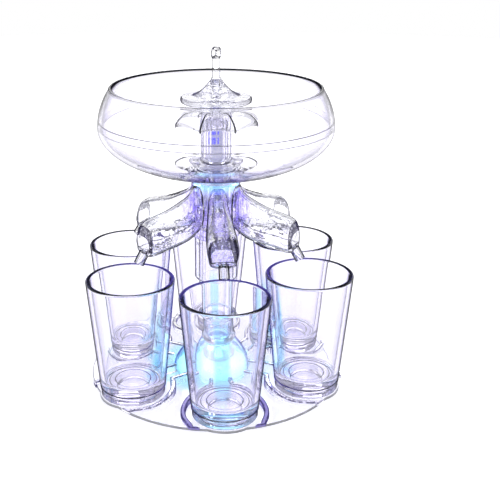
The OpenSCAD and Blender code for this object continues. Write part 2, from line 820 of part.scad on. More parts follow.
module glass_1() { shot_glass(0); }
module glass_2() { shot_glass(1); }
module glass_3() { shot_glass(2); }
module glass_4() { shot_glass(3); }
module glass_5() { shot_glass(4); }
module glass_6() { shot_glass(5); }

// ---------------------------------------------------------------- drawing

base_tray();
lamp_bell();
lamp_base();
lamp_board();
lamp_leds();
coin_cells();
cell_contacts();
cell_cover();
cover_screws();
switch_button();
column_collar();
column_tube();
column_sleeve();
splitter_hub();
arm_hoods();
splitter_base();
bowl_seal();
bowl_lower();
bowl_upper();
light_post();
post_plug();
post_board();
post_leds();
post_cells();
lift_tube();
valve_seal();
tube_collar();
umbrella();
trumpet_cap();
pull_handle();
glass_1();
glass_2();
glass_3();
glass_4();
glass_5();
glass_6();
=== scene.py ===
# %% [markdown]
# # A clear party shot dispenser
# The dispenser is a clear plastic bowl on a column. Pulling the handle in its middle lets the drink fall
# into a six-armed splitter, and six nozzles fill six shot glasses at once. Every part is see-through, so
# the whole job is clear plastic: true wall thickness, rounded edges and dark lines where a wall is seen
# from its side. The frame gives the real sizes, and each piece is drawn again here with a finer outline.

# %% Load the frame
import math

import bmesh
import bpy
from mathutils import Matrix, Vector


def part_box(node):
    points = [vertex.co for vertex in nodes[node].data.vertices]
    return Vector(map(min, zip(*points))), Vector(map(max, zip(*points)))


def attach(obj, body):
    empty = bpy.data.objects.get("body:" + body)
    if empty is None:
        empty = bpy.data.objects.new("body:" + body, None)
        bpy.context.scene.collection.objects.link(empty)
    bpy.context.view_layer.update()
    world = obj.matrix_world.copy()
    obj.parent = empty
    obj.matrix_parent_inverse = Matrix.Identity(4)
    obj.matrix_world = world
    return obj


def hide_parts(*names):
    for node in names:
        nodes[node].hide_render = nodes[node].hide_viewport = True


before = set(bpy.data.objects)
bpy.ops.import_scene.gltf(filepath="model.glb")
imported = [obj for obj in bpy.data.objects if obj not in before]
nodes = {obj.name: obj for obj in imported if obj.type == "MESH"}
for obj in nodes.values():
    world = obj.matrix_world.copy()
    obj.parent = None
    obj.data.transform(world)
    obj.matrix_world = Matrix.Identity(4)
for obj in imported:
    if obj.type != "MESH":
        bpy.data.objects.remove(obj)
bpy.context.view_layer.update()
MM = 0.001
STATIONS = 6

# %% [markdown]
# ## Camera, floor and light
# The photograph was taken from 54 cm away and 18 degrees above the middle of the object, with a normal
# lens. The object stands left of the middle of the picture, which is a shift of the lens, not a turn of
# the camera.

# %% Camera
CAMERA_DISTANCE = 0.5378
CAMERA_ELEVATION = math.radians(18.063)
CAMERA_AZIMUTH = math.radians(-4.736)
CAMERA_AIM_Z = 0.1022
FOCAL_MM = 66.46
SENSOR_MM = 36


def add_camera():
    """The photograph's viewpoint, aimed at the column's axis."""
    data = bpy.data.cameras.new("photo_camera")
    data.lens = FOCAL_MM
    data.sensor_width = SENSOR_MM
    data.shift_x = 0.0677
    data.shift_y = -0.0827
    data.clip_start = 0.01
    camera = bpy.data.objects.new("photo_camera", data)
    bpy.context.scene.collection.objects.link(camera)
    flat = CAMERA_DISTANCE * math.cos(CAMERA_ELEVATION)
    place = Vector((
        flat * math.sin(CAMERA_AZIMUTH),
        -flat * math.cos(CAMERA_AZIMUTH),
        CAMERA_AIM_Z + CAMERA_DISTANCE * math.sin(CAMERA_ELEVATION),
    ))
    aim = Vector((0, 0, CAMERA_AIM_Z))
    camera.location = place
    camera.rotation_euler = (aim - place).to_track_quat("-Z", "Y").to_euler()
    bpy.context.scene.camera = camera
    return camera


camera = add_camera()
print("camera at", [round(c, 4) for c in camera.location])

# %% [markdown]
# Clear plastic shows what is behind it, so the world is white to the eye and to anything seen through or
# in the plastic. Only the part overhead is darker there, as a studio ceiling is: rims and shoulders then
# draw themselves as thin dark lines. The light that falls on the object stays plain.


# %% World
def node_tree(owner):
    """The emptied node tree of a material or world."""
    owner.use_nodes = True
    tree = owner.node_tree
    tree.nodes.clear()
    return tree


def add_node(tree, kind, **values):
    """A node whose named inputs or properties are set."""
    node = tree.nodes.new(kind)
    for name, value in values.items():
        if name in node.inputs:
            node.inputs[name].default_value = value
        else:
            setattr(node, name, value)
    return node


def feed(tree, value, socket):
    """Gives an input socket its value, which is a number, a colour or an output socket."""
    if isinstance(value, (int, float)):
        socket.default_value = value
    elif isinstance(value, tuple):
        socket.default_value = (*value, 1)
    else:
        tree.links.new(value, socket)


def math_node(tree, operation, *values):
    """The result socket of a Math node; values are sockets or numbers."""
    node = tree.nodes.new("ShaderNodeMath")
    node.operation = operation
    for slot, value in enumerate(values):
        feed(tree, value, node.inputs[slot])
    return node.outputs[0]


def product(tree, first, *others):
    """The product of several sockets or numbers."""
    for value in others:
        first = math_node(tree, "MULTIPLY", first, value)
    return first


def coordinates(tree, vector):
    """Sockets x, y and z of a vector socket."""
    parts = tree.nodes.new("ShaderNodeSeparateXYZ")
    tree.links.new(vector, parts.inputs[0])
    return tuple(parts.outputs)


def ramp(tree, factor, stops):
    """The colour socket of a Color Ramp with stops of (place, colour)."""
    node = tree.nodes.new("ShaderNodeValToRGB")
    band = node.color_ramp
    while len(band.elements) < len(stops):
        band.elements.new(0.5)
    for element, (place, colour) in zip(band.elements, stops):
        element.position = place
        element.color = (*colour, 1)
    tree.links.new(factor, node.inputs[0])
    return node.outputs[0]


def seen_rays(tree):
    """1 for camera, glossy and transmission rays, else 0."""
    path = tree.nodes.new("ShaderNodeLightPath")
    direct = math_node(tree, "MAXIMUM", path.outputs["Is Camera Ray"], path.outputs["Is Glossy Ray"])
    return math_node(tree, "MAXIMUM", direct, path.outputs["Is Transmission Ray"])


FILL_LIGHT = 0.5
CEILING = [  # colour by height in the sky, from the horizon at 0 to straight up at 1
    (0.0, (1, 1, 1)), (0.2, (1, 1, 1)), (0.45, (0.42, 0.42, 0.5)),
    (0.8, (0.12, 0.12, 0.16)), (1, (0.5, 0.5, 0.6)),
]


def add_world():
    """White surroundings with a darker ceiling for what the plastic shows."""
    world = bpy.data.worlds.new("studio")
    bpy.context.scene.world = world
    tree = node_tree(world)
    path = tree.nodes.new("ShaderNodeLightPath")
    place = tree.nodes.new("ShaderNodeTexCoord")
    ceiling = ramp(tree, coordinates(tree, place.outputs["Generated"])[2], CEILING)
    shown = add_node(tree, "ShaderNodeMix", data_type="RGBA")
    tree.links.new(path.outputs["Is Camera Ray"], shown.inputs["Factor"])
    tree.links.new(ceiling, shown.inputs[6])
    shown.inputs[7].default_value = (1, 1, 1, 1)
    background = add_node(tree, "ShaderNodeBackground")
    fill = add_node(tree, "ShaderNodeBackground", Color=(1, 1, 1, 1), Strength=FILL_LIGHT)
    tree.links.new(shown.outputs[2], background.inputs["Color"])
    mix = tree.nodes.new("ShaderNodeMixShader")
    tree.links.new(seen_rays(tree), mix.inputs[0])
    tree.links.new(fill.outputs[0], mix.inputs[1])
    tree.links.new(background.outputs[0], mix.inputs[2])
    out = tree.nodes.new("ShaderNodeOutputWorld")
    tree.links.new(mix.outputs[0], out.inputs["Surface"])


add_world()
scene = bpy.context.scene
scene.view_settings.view_transform = "Standard"
scene.cycles.max_bounces = 40
scene.cycles.transmission_bounces = 40
scene.cycles.glossy_bounces = 12
scene.cycles.transparent_max_bounces = 40
print("ceiling darker than the horizon for reflected and refracted rays only")

# %% [markdown]
# The floor only has to take a soft shadow. Away from the object it glows a little for the eye, so it runs
# into the white background without an edge. A curved studio sweep would need its own shape to do the same.

# %% Floor
FLOOR_R = 1.6
FLOOR_DROP = 0.0004               # gap under the tray, so that the two faces don't flicker
NEAR_LIFT, FAR_LIFT = 0.4, 0.75   # glow that the eye sees, so that the floor ends in white
NEAR_R, FAR_R = 0.12, 0.4         # distances from the column between which that glow grows


def floor_material():
    """Matt white, with a glow outside the object's shadow that only seen rays meet."""
    material = bpy.data.materials.new("white_floor")
    tree = node_tree(material)
    matt = add_node(tree, "ShaderNodeBsdfDiffuse", Color=(0.9, 0.9, 0.92, 1))
    lift = add_node(tree, "ShaderNodeEmission", Color=(1, 1, 1, 1))
    place = tree.nodes.new("ShaderNodeTexCoord")
    away = tree.nodes.new("ShaderNodeVectorMath")
    away.operation = "LENGTH"
    tree.links.new(place.outputs["Object"], away.inputs[0])
    share = add_node(tree, "ShaderNodeMapRange")
    for name, value in (("From Min", NEAR_R), ("From Max", FAR_R),
                        ("To Min", NEAR_LIFT), ("To Max", FAR_LIFT)):
        share.inputs[name].default_value = value
    tree.links.new(away.outputs["Value"], share.inputs["Value"])
    tree.links.new(product(tree, seen_rays(tree), share.outputs["Result"]), lift.inputs["Strength"])
    both = tree.nodes.new("ShaderNodeAddShader")
    tree.links.new(matt.outputs[0], both.inputs[0])
    tree.links.new(lift.outputs[0], both.inputs[1])
    out = tree.nodes.new("ShaderNodeOutputMaterial")
    tree.links.new(both.outputs[0], out.inputs["Surface"])
    return material


def add_floor():
    """A white floor that keeps a soft shadow."""
    bpy.ops.mesh.primitive_circle_add(vertices=64, radius=FLOOR_R, fill_type="NGON",
                                      location=(0, 0, -FLOOR_DROP))
    floor = bpy.context.object
    floor.name = "floor"
    floor.data.materials.append(floor_material())
    return floor


floor = add_floor()
print("floor:", round(floor.dimensions.x, 2), "m across")

# %% [markdown]
# Three large soft lamps, to the left, to the right and behind, give the plastic its soft highlights. A single
# sun would be simpler, but its highlights are hard dots, and moulded plastic in a studio has none.


# %% Lamps
def add_lamp(name, place, size, power):
    """A square soft lamp aimed at the middle of the object."""
    data = bpy.data.lights.new(name, "AREA")
    data.size = size
    data.energy = power
    lamp = bpy.data.objects.new(name, data)
    bpy.context.scene.collection.objects.link(lamp)
    lamp.location = place
    lamp.rotation_euler = (Vector((0, 0, 0.1)) - Vector(place)).to_track_quat("-Z", "Y").to_euler()
    return lamp


add_lamp("left_softbox", (-0.9, -0.5, 1.0), 0.6, 4.5)
add_lamp("right_softbox", (0.8, -0.2, 1.1), 0.5, 3.5)
add_lamp("back_softbox", (0.1, 1.0, 0.9), 0.7, 3.5)
print(len(bpy.data.lights), "soft lamps")

# %% [markdown]
# ## Clear plastic
# One Principled shader with full transmission could do it alone. Real moulded acrylic is more than that:
# where a wall is seen along its surface the light has crossed a lot of plastic, so the wall turns violet
# and its very edge is a dark line. Layer Weight finds that edge: it drives the colour, and at the outline
# it fades to a dark pane, which no bright reflection can wash out. A faint bump gives the waves that
# moulding leaves. Lamps would cast black shadows through such a shader, so shadow rays meet a plain pane.

# %% Clear plastic
ACRYLIC_IOR = 1.49
WALL_TURNS = 0.38   # facing value at which a wall starts to go violet
WALL_SIDE = 0.6     # facing value of a wall seen from its side
WALL_EDGE = 0.86    # facing value of its outline
LINE_STARTS = 0.72  # facing value at which the dark line of a wide piece starts
LINE_WIDTH = 0.2    # rise in facing value up to the line's middle
DARK_LINE = (0.05, 0.045, 0.1)
LEVEL_FACING = 0.4  # facing value given to level faces, which would look dark from a low viewpoint
LEVEL_NORMAL = (0.93, 0.985)  # upright share of the normal from which a face starts to be, and is, level


def mix_colour(tree, factor, a, b, mode="MIX"):
    """Colour socket of a Mix node; a and b are sockets or colours, factor a socket or number."""
    node = tree.nodes.new("ShaderNodeMix")
    node.data_type = "RGBA"
    node.blend_type = mode
    for slot, value in ((0, factor), (6, a), (7, b)):
        feed(tree, value, node.inputs[slot])
    return node.outputs[2]


def step(tree, value, low, high):
    """A smooth step of value from 0 at low to 1 at high."""
    node = tree.nodes.new("ShaderNodeMapRange")
    node.interpolation_type = "SMOOTHSTEP"
    tree.links.new(value, node.inputs["Value"])
    node.inputs["From Min"].default_value = low
    node.inputs["From Max"].default_value = high
    return node.outputs["Result"]


def noise(tree, place, size_mm, stretch=(1, 1, 1), detail=2.0):
    """Noise of that grain size, drawn out along an axis whose stretch is below 1."""
    scaled = tree.nodes.new("ShaderNodeMapping")
    scaled.inputs["Scale"].default_value = stretch
    tree.links.new(place.outputs["Object"], scaled.inputs["Vector"])
    node = add_node(tree, "ShaderNodeTexNoise", Scale=1 / (size_mm * MM), Detail=detail, Roughness=0.5)
    tree.links.new(scaled.outputs[0], node.inputs["Vector"])
    return node.outputs["Fac"]


def mix_shaders(tree, factor, a, b):
    """Mix Shader of the shader nodes a and b; factor is a socket or a number."""
    node = tree.nodes.new("ShaderNodeMixShader")
    feed(tree, factor, node.inputs[0])
    tree.links.new(a.outputs[0], node.inputs[1])
    tree.links.new(b.outputs[0], node.inputs[2])
    return node


def finish_material(tree, shader):
    """Joins a clear shader to the output, with a tinted pane in its place for shadow rays."""
    path = tree.nodes.new("ShaderNodeLightPath")
    pane = add_node(tree, "ShaderNodeBsdfTransparent", Color=(0.94, 0.94, 0.97, 1))
    both = mix_shaders(tree, path.outputs["Is Shadow Ray"], shader, pane)
    out = tree.nodes.new("ShaderNodeOutputMaterial")
    tree.links.new(both.outputs[0], out.inputs["Surface"])


def level_stays_clear(tree, place, facing):
    """The facing value, but LEVEL_FACING on level faces, which light crosses from above."""
    upright = math_node(tree, "ABSOLUTE", coordinates(tree, place.outputs["Normal"])[2])
    level = step(tree, upright, *LEVEL_NORMAL)
    kept = product(tree, facing, math_node(tree, "SUBTRACT", 1, level))
    return math_node(tree, "ADD", kept, product(tree, level, LEVEL_FACING))


# %% [markdown]
# A finish is a function, so that each piece states only what is its own: three colours from a wall seen face
# on to its outline, how wavy the moulding is, and where its dark line starts.


# %% The finish
def clear_plastic(name, face, side, edge, wave=0.1, wave_mm=14, stretch=(1, 1, 1), tint=None, roughness=0.01,
                  line=DARK_LINE, line_share=0.9, line_from=LINE_STARTS,
                  body=None, body_share=None, glow=None):
    """Clear moulded plastic: face, side and edge are its colours as its wall turns away, line its outline.

    A slim piece has its line from a lower facing value, or it would be too thin to see. The line is a colour
    or a function of the tree and place that gives one. tint(tree, place, colour) changes the colour by place,
    and body_share(tree, place) says how much of the milky body colour shows there. glow(tree, place, facing)
    gives the colour and strength of the light that the piece sends out.
    """
    material = bpy.data.materials.new(name)
    tree = node_tree(material)
    place = tree.nodes.new("ShaderNodeTexCoord")
    weight = tree.nodes.new("ShaderNodeLayerWeight")
    weight.inputs["Blend"].default_value = 0.5
    facing = level_stays_clear(tree, place, weight.outputs["Facing"])
    colour = ramp(tree, facing, [(0, face), (WALL_TURNS, face), (WALL_SIDE, side), (WALL_EDGE, edge)])
    if tint:
        colour = tint(tree, place, colour)
    bump = add_node(tree, "ShaderNodeBump", Strength=wave, Distance=0.0005)
    tree.links.new(noise(tree, place, wave_mm, stretch), bump.inputs["Height"])
    shader = add_node(tree, "ShaderNodeBsdfPrincipled", Roughness=roughness, IOR=ACRYLIC_IOR)
    shader.inputs["Transmission Weight"].default_value = 1
    shader.inputs["Specular IOR Level"].default_value = 0.2
    tree.links.new(colour, shader.inputs["Base Color"])
    tree.links.new(bump.outputs[0], shader.inputs["Normal"])
    if glow:
        light, strength = glow(tree, place, facing)
        tree.links.new(light, shader.inputs["Emission Color"])
        tree.links.new(strength, shader.inputs["Emission Strength"])
    if body:
        milk = add_node(tree, "ShaderNodeBsdfPrincipled", Roughness=0.6)
        milk.inputs["Specular IOR Level"].default_value = 0.1
        milky = mix_colour(tree, noise(tree, place, wave_mm, stretch), body, tuple(0.6 * c for c in body))
        tree.links.new(milky, milk.inputs["Base Color"])
        shader = mix_shaders(tree, body_share(tree, place), shader, milk)
    outline = tree.nodes.new("ShaderNodeBsdfTransparent")
    feed(tree, line(tree, place) if callable(line) else line, outline.inputs["Color"])
    dark = step(tree, facing, line_from, line_from + LINE_WIDTH)
    finish_material(tree, mix_shaders(tree, product(tree, dark, line_share), shader, outline))
    return material


PLAIN_GRAIN_MM = 6   # grain of a line that isn't speckled


def drawn_line(name, colour, share, speckle_mm=None):
    """A dark line moulded in clear plastic, such as a glued joint or a ridge; share is its darkness.

    The colour may be a function of the tree and place that gives one. A speckle size breaks the line up
    into grains.
    """
    material = bpy.data.materials.new(name)
    tree = node_tree(material)
    place = tree.nodes.new("ShaderNodeTexCoord")
    grain = noise(tree, place, speckle_mm or PLAIN_GRAIN_MM)
    ink = add_node(tree, "ShaderNodeBsdfPrincipled", Roughness=0.9)
    ink.inputs["Specular IOR Level"].default_value = 0
    tone = colour(tree, place) if callable(colour) else colour
    tree.links.new(mix_colour(tree, product(tree, grain, 0.6), tone, (0, 0, 0)), ink.inputs["Base Color"])
    pane = add_node(tree, "ShaderNodeBsdfTransparent", Color=(0.9, 0.9, 0.97, 1))
    amount = product(tree, step(tree, grain, 0.3, 0.5), share) if speckle_mm else share
    finish_material(tree, mix_shaders(tree, amount, pane, ink))
    return material


# %% [markdown]
# The two lamps colour the plastic near them: cyan at the foot of the column and on the glass walls that
# face it, blue at the neck under the bowl. Real light through clear walls would be lost against a white
# background, so each of these finishes takes its tint from the place on the piece.


# %% Tints from the lamps
SEAT_R = 58.5 * MM          # distance of each glass from the column
CYAN = (0.36, 0.86, 1.0)
NECK_BLUE = (0.92, 0.97, 1.0)


def where(tree, place):
    """Sockets x, y and z of a place on the object, in metres."""
    return coordinates(tree, place.outputs["Object"])


def distance_out(tree, place):
    """The distance of a place from the column's axis, in metres."""
    x, y, z = where(tree, place)
    return math_node(tree, "SQRT", math_node(tree, "ADD", product(tree, x, x), product(tree, y, y)))


def seen_from_seat(tree, place):
    """Sockets x, y, z of a place as seen from its own glass, with x pointing away from the column."""
    x, y, z = where(tree, place)
    r = distance_out(tree, place)
    angle = math_node(tree, "ADD", math_node(tree, "ARCTAN2", y, x), math.pi / 2)
    turn = math_node(tree, "WRAP", angle, math.pi / STATIONS, -math.pi / STATIONS)
    out = product(tree, r, math_node(tree, "COSINE", turn))
    along = product(tree, r, math_node(tree, "SINE", turn))
    return math_node(tree, "SUBTRACT", out, SEAT_R), along, z


def lit_glass(tree, place, colour):
    """A cyan streak up the side that faces the column, and a violet foot."""
    x, y, z = seen_from_seat(tree, place)
    inward = step(tree, x, -6 * MM, -12 * MM)
    narrow = step(tree, math_node(tree, "ABSOLUTE", y), 6.5 * MM, 3 * MM)
    streak = product(tree, inward, narrow, step(tree, z, 56 * MM, 36 * MM), 0.75)
    foot = step(tree, z, 12.5 * MM, 8.5 * MM)
    colour = mix_colour(tree, foot, colour, (0.95, 0.93, 1), "MULTIPLY")
    return mix_colour(tree, streak, colour, CYAN, "MULTIPLY")


def glass_line(tree, place):
    """Outline of a glass: nearly black, and violet on the half that the lamp reaches."""
    lit = step(tree, seen_from_seat(tree, place)[0], 7 * MM, -12 * MM)
    return mix_colour(tree, lit, (0.03, 0.03, 0.05), (0.13, 0.1, 0.5))


def lit_bowl(tree, place, colour):
    """Blue at the bowl's neck, over the splitter's hub."""
    low = step(tree, where(tree, place)[2], 127 * MM, 121 * MM)
    return mix_colour(tree, low, colour, NECK_BLUE, "MULTIPLY")


def lit_hub(tree, place, colour):
    """Violet streaks down the hub, and a blue light at its top."""
    streaks = step(tree, noise(tree, place, 1.2, (1, 1, 0.25), 3.0), 0.47, 0.54)
    tinted = mix_colour(tree, streaks, (1, 1, 1), (0.5, 0.43, 0.95))
    high = step(tree, where(tree, place)[2], 114 * MM, 119 * MM)
    blue = mix_colour(tree, high, tinted, (0.8, 0.93, 1.0))
    return mix_colour(tree, 1.0, colour, blue, "MULTIPLY")


def hub_glow(tree, place, facing):
    """Blue light in the top of the hub, where the upper lamp shines down the post, and violet below."""
    high = step(tree, where(tree, place)[2], 111 * MM, 118 * MM)
    colour = mix_colour(tree, high, (0.75, 0.68, 1), (0.25, 0.62, 1))
    return colour, math_node(tree, "ADD", product(tree, high, 0.3), 0.06)


def toward_front(tree, place, start, end):
    """0 at a distance of start mm in front of the column, and 1 at end mm."""
    return step(tree, where(tree, place)[1], -start * MM, -end * MM)


def lit_arm(tree, place, colour):
    """Violet streaks at the arms' roots, and violet grains on the front arm, where the lamps reach them."""
    grains = step(tree, noise(tree, place, 1.1, detail=3.0), 0.5, 0.62)
    low = step(tree, where(tree, place)[2], 101 * MM, 92 * MM)
    grainy = product(tree, grains, low, toward_front(tree, place, 24, 36))
    streaks = step(tree, noise(tree, place, 1.3, (1, 1, 0.3), 3.0), 0.46, 0.56)
    streaked = product(tree, streaks, step(tree, distance_out(tree, place), 24 * MM, 17 * MM))
    share = math_node(tree, "MAXIMUM", grainy, streaked)
    return mix_colour(tree, share, colour, (0.56, 0.5, 0.96), "MULTIPLY")


def fence_body(tree, place):
    """The front glass's two fences are milky violet, and the others nearly clear."""
    middle = step(tree, math_node(tree, "ABSOLUTE", where(tree, place)[0]), 31 * MM, 27 * MM)
    return product(tree, toward_front(tree, place, 32, 48), middle, 0.92)


def lit_tray(tree, place, colour):
    """Cyan on the tray round the lamp, stronger on its left."""
    near = step(tree, distance_out(tree, place), 42 * MM, 30 * MM)
    left = math_node(tree, "MAXIMUM", step(tree, where(tree, place)[0], 6 * MM, -14 * MM), 0.3)
    return mix_colour(tree, product(tree, near, left), colour, (0.62, 0.94, 1.0), "MULTIPLY")


def lit_bell(tree, place, colour):
    """Cyan round the foot of the bell and on its left side, clear higher up."""
    x, y, z = where(tree, place)
    low = product(tree, step(tree, z, 11 * MM, 5 * MM), 0.65)
    amount = math_node(tree, "MAXIMUM", low, step(tree, x, -11 * MM, -18 * MM))
    return mix_colour(tree, amount, colour, (0.62, 0.95, 1.0), "MULTIPLY")


def bell_glow(tree, place, facing):
    """A little of the lamp's light in the bell, white in its middle and cyan to its sides."""
    colour = ramp(tree, facing, [(0, (1, 1, 1)), (0.2, (0.9, 1, 1)),
                                 (0.4, (0.4, 0.93, 1)), (0.7, (0.1, 0.4, 1))])
    low = step(tree, where(tree, place)[2], 19 * MM, 9 * MM)
    return colour, math_node(tree, "ADD", product(tree, low, 0.05), 0.05)


# %% [markdown]
# ## Finishes
# One clear plastic would make every piece the same. The photograph shows several: a nearly colourless
# bowl, violet walls on the glasses, a solid violet fence at the front glass, a greyer cap and a streaked
# hub. The drawn lines are for edges that real plastic darkens: glued laps, rims, moulded rings and ridges.

# %% Clear finishes
bowl_clear = clear_plastic("bowl_acrylic", (0.975, 0.97, 1), (0.85, 0.83, 0.96), (0.3, 0.28, 0.4), 0.06, 24,
                           tint=lit_bowl, line=(0.1, 0.09, 0.14), line_share=0.65, line_from=0.76)
glass_clear = clear_plastic("glass_plastic", (0.965, 0.957, 1), (0.76, 0.72, 0.99), (0.25, 0.2, 0.5),
                            0.08, 16, tint=lit_glass, line=glass_line, line_from=0.66)
column_clear = clear_plastic("column_acrylic", (0.972, 0.965, 1), (0.8, 0.78, 0.99), (0.25, 0.22, 0.6),
                             0.15, 8, (1, 1, 0.3), line=(0.08, 0.07, 0.25), line_from=0.6)
arm_clear = clear_plastic("arm_acrylic", (0.975, 0.975, 0.99), (0.86, 0.86, 0.9), (0.2, 0.2, 0.26), 0.6, 6,
                          tint=lit_arm, line=(0.02, 0.02, 0.03), line_from=0.66)
hub_clear = clear_plastic("hub_acrylic", (0.99, 0.985, 1), (0.93, 0.91, 1), (0.5, 0.45, 0.85), 0.8, 3,
                          (1, 1, 0.2), tint=lit_hub, line=(0.1, 0.08, 0.35), line_from=0.68, glow=hub_glow)
cap_clear = clear_plastic("cap_acrylic", (0.93, 0.93, 0.97), (0.76, 0.75, 0.86), (0.22, 0.22, 0.3), 0.9, 3,
                          line_from=0.6)
rod_clear = clear_plastic("handle_acrylic", (0.97, 0.97, 0.98), (0.86, 0.86, 0.9), (0.2, 0.2, 0.25), 0.15, 5,
                          line=(0.05, 0.05, 0.07), line_from=0.4)
nozzle_clear = clear_plastic("nozzle_acrylic", (0.96, 0.96, 0.99), (0.8, 0.8, 0.9), (0.2, 0.2, 0.3), 0.15, 5,
                             line=(0.04, 0.03, 0.1), line_from=0.3)
gore_clear = clear_plastic("umbrella_acrylic", (0.99, 0.99, 1), (0.97, 0.97, 0.99), (0.9, 0.9, 0.94),
                           0.04, 12, line_share=0.2, line_from=0.8)
fence_clear = clear_plastic("fence_acrylic", (0.95, 0.94, 1), (0.8, 0.78, 0.97), (0.25, 0.2, 0.4), 0.5, 2.5,
                            line=(0.1, 0.08, 0.3), line_from=0.6,
                            body=(0.44, 0.38, 0.9), body_share=fence_body)
tray_clear = clear_plastic("tray_acrylic", (0.985, 0.985, 1), (0.97, 0.97, 0.99), (0.85, 0.85, 0.9), 0.05, 30,
                           tint=lit_tray, line_share=0.12)
bell_lit = clear_plastic("bell_acrylic", (0.965, 1, 1), (0.74, 0.97, 1.0), (0.2, 0.45, 0.95), 0.25, 8,
                         tint=lit_bell, line=(0.08, 0.12, 0.6), line_share=0.8, line_from=0.6, glow=bell_glow)
seam_line = drawn_line("glued_seam", (0.04, 0.04, 0.07), 0.95)
tray_line = drawn_line("tray_edge", (0.8, 0.8, 0.85), 0.8)
rim_line = drawn_line("rim_edge", (0.02, 0.02, 0.03), 0.97)
ring_line = drawn_line("moulded_ring", glass_line, 0.9)
fence_line_mark = drawn_line("fence_edge", (0.1, 0.08, 0.25), 0.8, 2)
rib_line = drawn_line("rib_edge", (0.02, 0.02, 0.03), 0.97)
end_line = drawn_line("arm_end", (0.09, 0.08, 0.16), 0.7, 1.4)
print(len(bpy.data.materials), "materials so far")

# %% [markdown]
# The pieces inside are not clear. The lamps shine, the boards and holders are matt plastic, and the cells
# and screws are steel. Each still has its own grain: nothing moulded or stamped is one flat colour.
# The white housing, cell cover and button are no lamps, but they also glow a little: painted light from the
# lamp's LEDs.


# %% Solid finishes
def solid(name, colour, dark, roughness, metallic=0.0, grain_mm=1.5, glow=None, glow_strength=0.0):
    """An opaque finish that drifts between two shades, with a fine grain and an optional glow."""
    material = bpy.data.materials.new(name)
    tree = node_tree(material)
    place = tree.nodes.new("ShaderNodeTexCoord")
    grain = noise(tree, place, grain_mm, detail=4.0)
    bump = add_node(tree, "ShaderNodeBump", Strength=0.2, Distance=0.0001)
    tree.links.new(grain, bump.inputs["Height"])
    shader = add_node(tree, "ShaderNodeBsdfPrincipled", Roughness=roughness, Metallic=metallic)
    tree.links.new(mix_colour(tree, grain, dark, colour), shader.inputs["Base Color"])
    tree.links.new(bump.outputs[0], shader.inputs["Normal"])
    if glow:
        light = mix_colour(tree, grain, glow, tuple(min(1, 1.1 * c) for c in glow))
        tree.links.new(light, shader.inputs["Emission Color"])
        shader.inputs["Emission Strength"].default_value = glow_strength
    out = tree.nodes.new("ShaderNodeOutputMaterial")
    tree.links.new(shader.outputs[0], out.inputs["Surface"])
    return material


# The housing, cell cover and button are no lamps: their pale cyan glow is painted light from the lamp's LEDs.
white_plastic = solid("white_plastic", (0.86, 0.94, 0.97), (0.74, 0.86, 0.92), 0.45,
                      glow=(0.85, 0.98, 1), glow_strength=0.3)
silicone = clear_plastic("milky_silicone", (0.96, 0.96, 0.99), (0.86, 0.86, 0.93), (0.6, 0.59, 0.72), 0.3, 2,
                         roughness=0.25)
blue_led = solid("blue_led", (0.01, 0.01, 0.3), (0.01, 0.01, 0.15), 0.8, glow=(0, 0, 0.88), glow_strength=1)
cyan_led = solid("cyan_led", (0.6, 0.95, 1), (0.4, 0.85, 1), 0.3, glow=(0.5, 0.95, 1), glow_strength=1.4)
board_lacquer = solid("pale_board", (0.86, 0.86, 0.99), (0.74, 0.76, 0.97), 0.4, grain_mm=0.8)
steel = solid("brushed_steel", (0.72, 0.73, 0.76), (0.5, 0.51, 0.54), 0.28, 1.0, 0.6)
print(len(bpy.data.materials), "materials in all")

# %% [markdown]
# ## Pieces kept from the frame
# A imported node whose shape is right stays: it is fixed and exact, so it only needs its finish. The hidden
# electrical pieces, the seals, the column tube, the splitter's hub and the handle are such pieces.


# %% Dress the kept nodes
def dress(material, *names):
    """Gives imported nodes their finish."""
    for name in names:
        nodes[name].data.materials.clear()
        nodes[name].data.materials.append(material)
    print(material.name, "on", *names)


dress(white_plastic, "lamp_base", "cell_cover", "switch_button")
dress(board_lacquer, "lamp_board", "post_board")
dress(cyan_led, "lamp_leds")
dress(blue_led, "post_leds")
dress(steel, "coin_cells", "cell_contacts", "cover_screws", "post_cells")
dress(silicone, "bowl_seal", "valve_seal", "post_plug")
dress(column_clear, "column_tube")
dress(hub_clear, "splitter_hub")
dress(rod_clear, "pull_handle")

# %% [markdown]
# ## Turned pieces
# Bowl, bell, collar, cap and glasses are all round. Each could be a cylinder that is edited, but its
# outline says more: a list of radius and height points, with arcs for the rounded edges, swept once round
# the axis. Edges that turn by more than 32 degrees stay sharp and the rest are smooth.

# %% Outline helpers
AROUND = 160                    # steps round a turned piece
SHARP_ANGLE = math.radians(32)  # edges that turn by more stay sharp
INSET = 0.02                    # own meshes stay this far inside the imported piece, in mm
ON_AXIS = 1e-6                  # a smaller radius counts as 0


def low(node):
    """Height of a node's lowest point, in mm."""
    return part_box(node)[0].z / MM


def high(node):
    """Height of a node's highest point, in mm."""
    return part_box(node)[1].z / MM


def reach(node):
    """How far a node reaches from the axis along X, in mm."""
    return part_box(node)[1].x / MM


def arc(r, z, radius, start, end, steps=6):
    """Outline points on an arc round (r, z), from start to end degrees."""
    turns = [math.radians(start + (end - start) * i / steps) for i in range(steps + 1)]
    return [(r + radius * math.cos(a), z + radius * math.sin(a)) for a in turns]


def make_mesh(name, points, faces, material, marked=(), mark=None):
    """A closed mesh from points in mm, faces outward and smooth up to SHARP_ANGLE.

    The faces whose numbers are in marked get the material mark.
    """
    mesh = bpy.data.meshes.new(name)
    mesh.from_pydata([Vector(p) * MM for p in points], [], faces)
    mesh.materials.append(material)
    if mark:
        mesh.materials.append(mark)
        for number in marked:
            mesh.polygons[number].material_index = 1
    work = bmesh.new()
    work.from_mesh(mesh)
    bmesh.ops.remove_doubles(work, verts=work.verts, dist=1e-7)
    bmesh.ops.recalc_face_normals(work, faces=work.faces)
    work.to_mesh(mesh)
    work.free()
    mesh.polygons.foreach_set("use_smooth", [True] * len(mesh.polygons))
    mesh.set_sharp_from_angle(angle=SHARP_ANGLE)
    return mesh


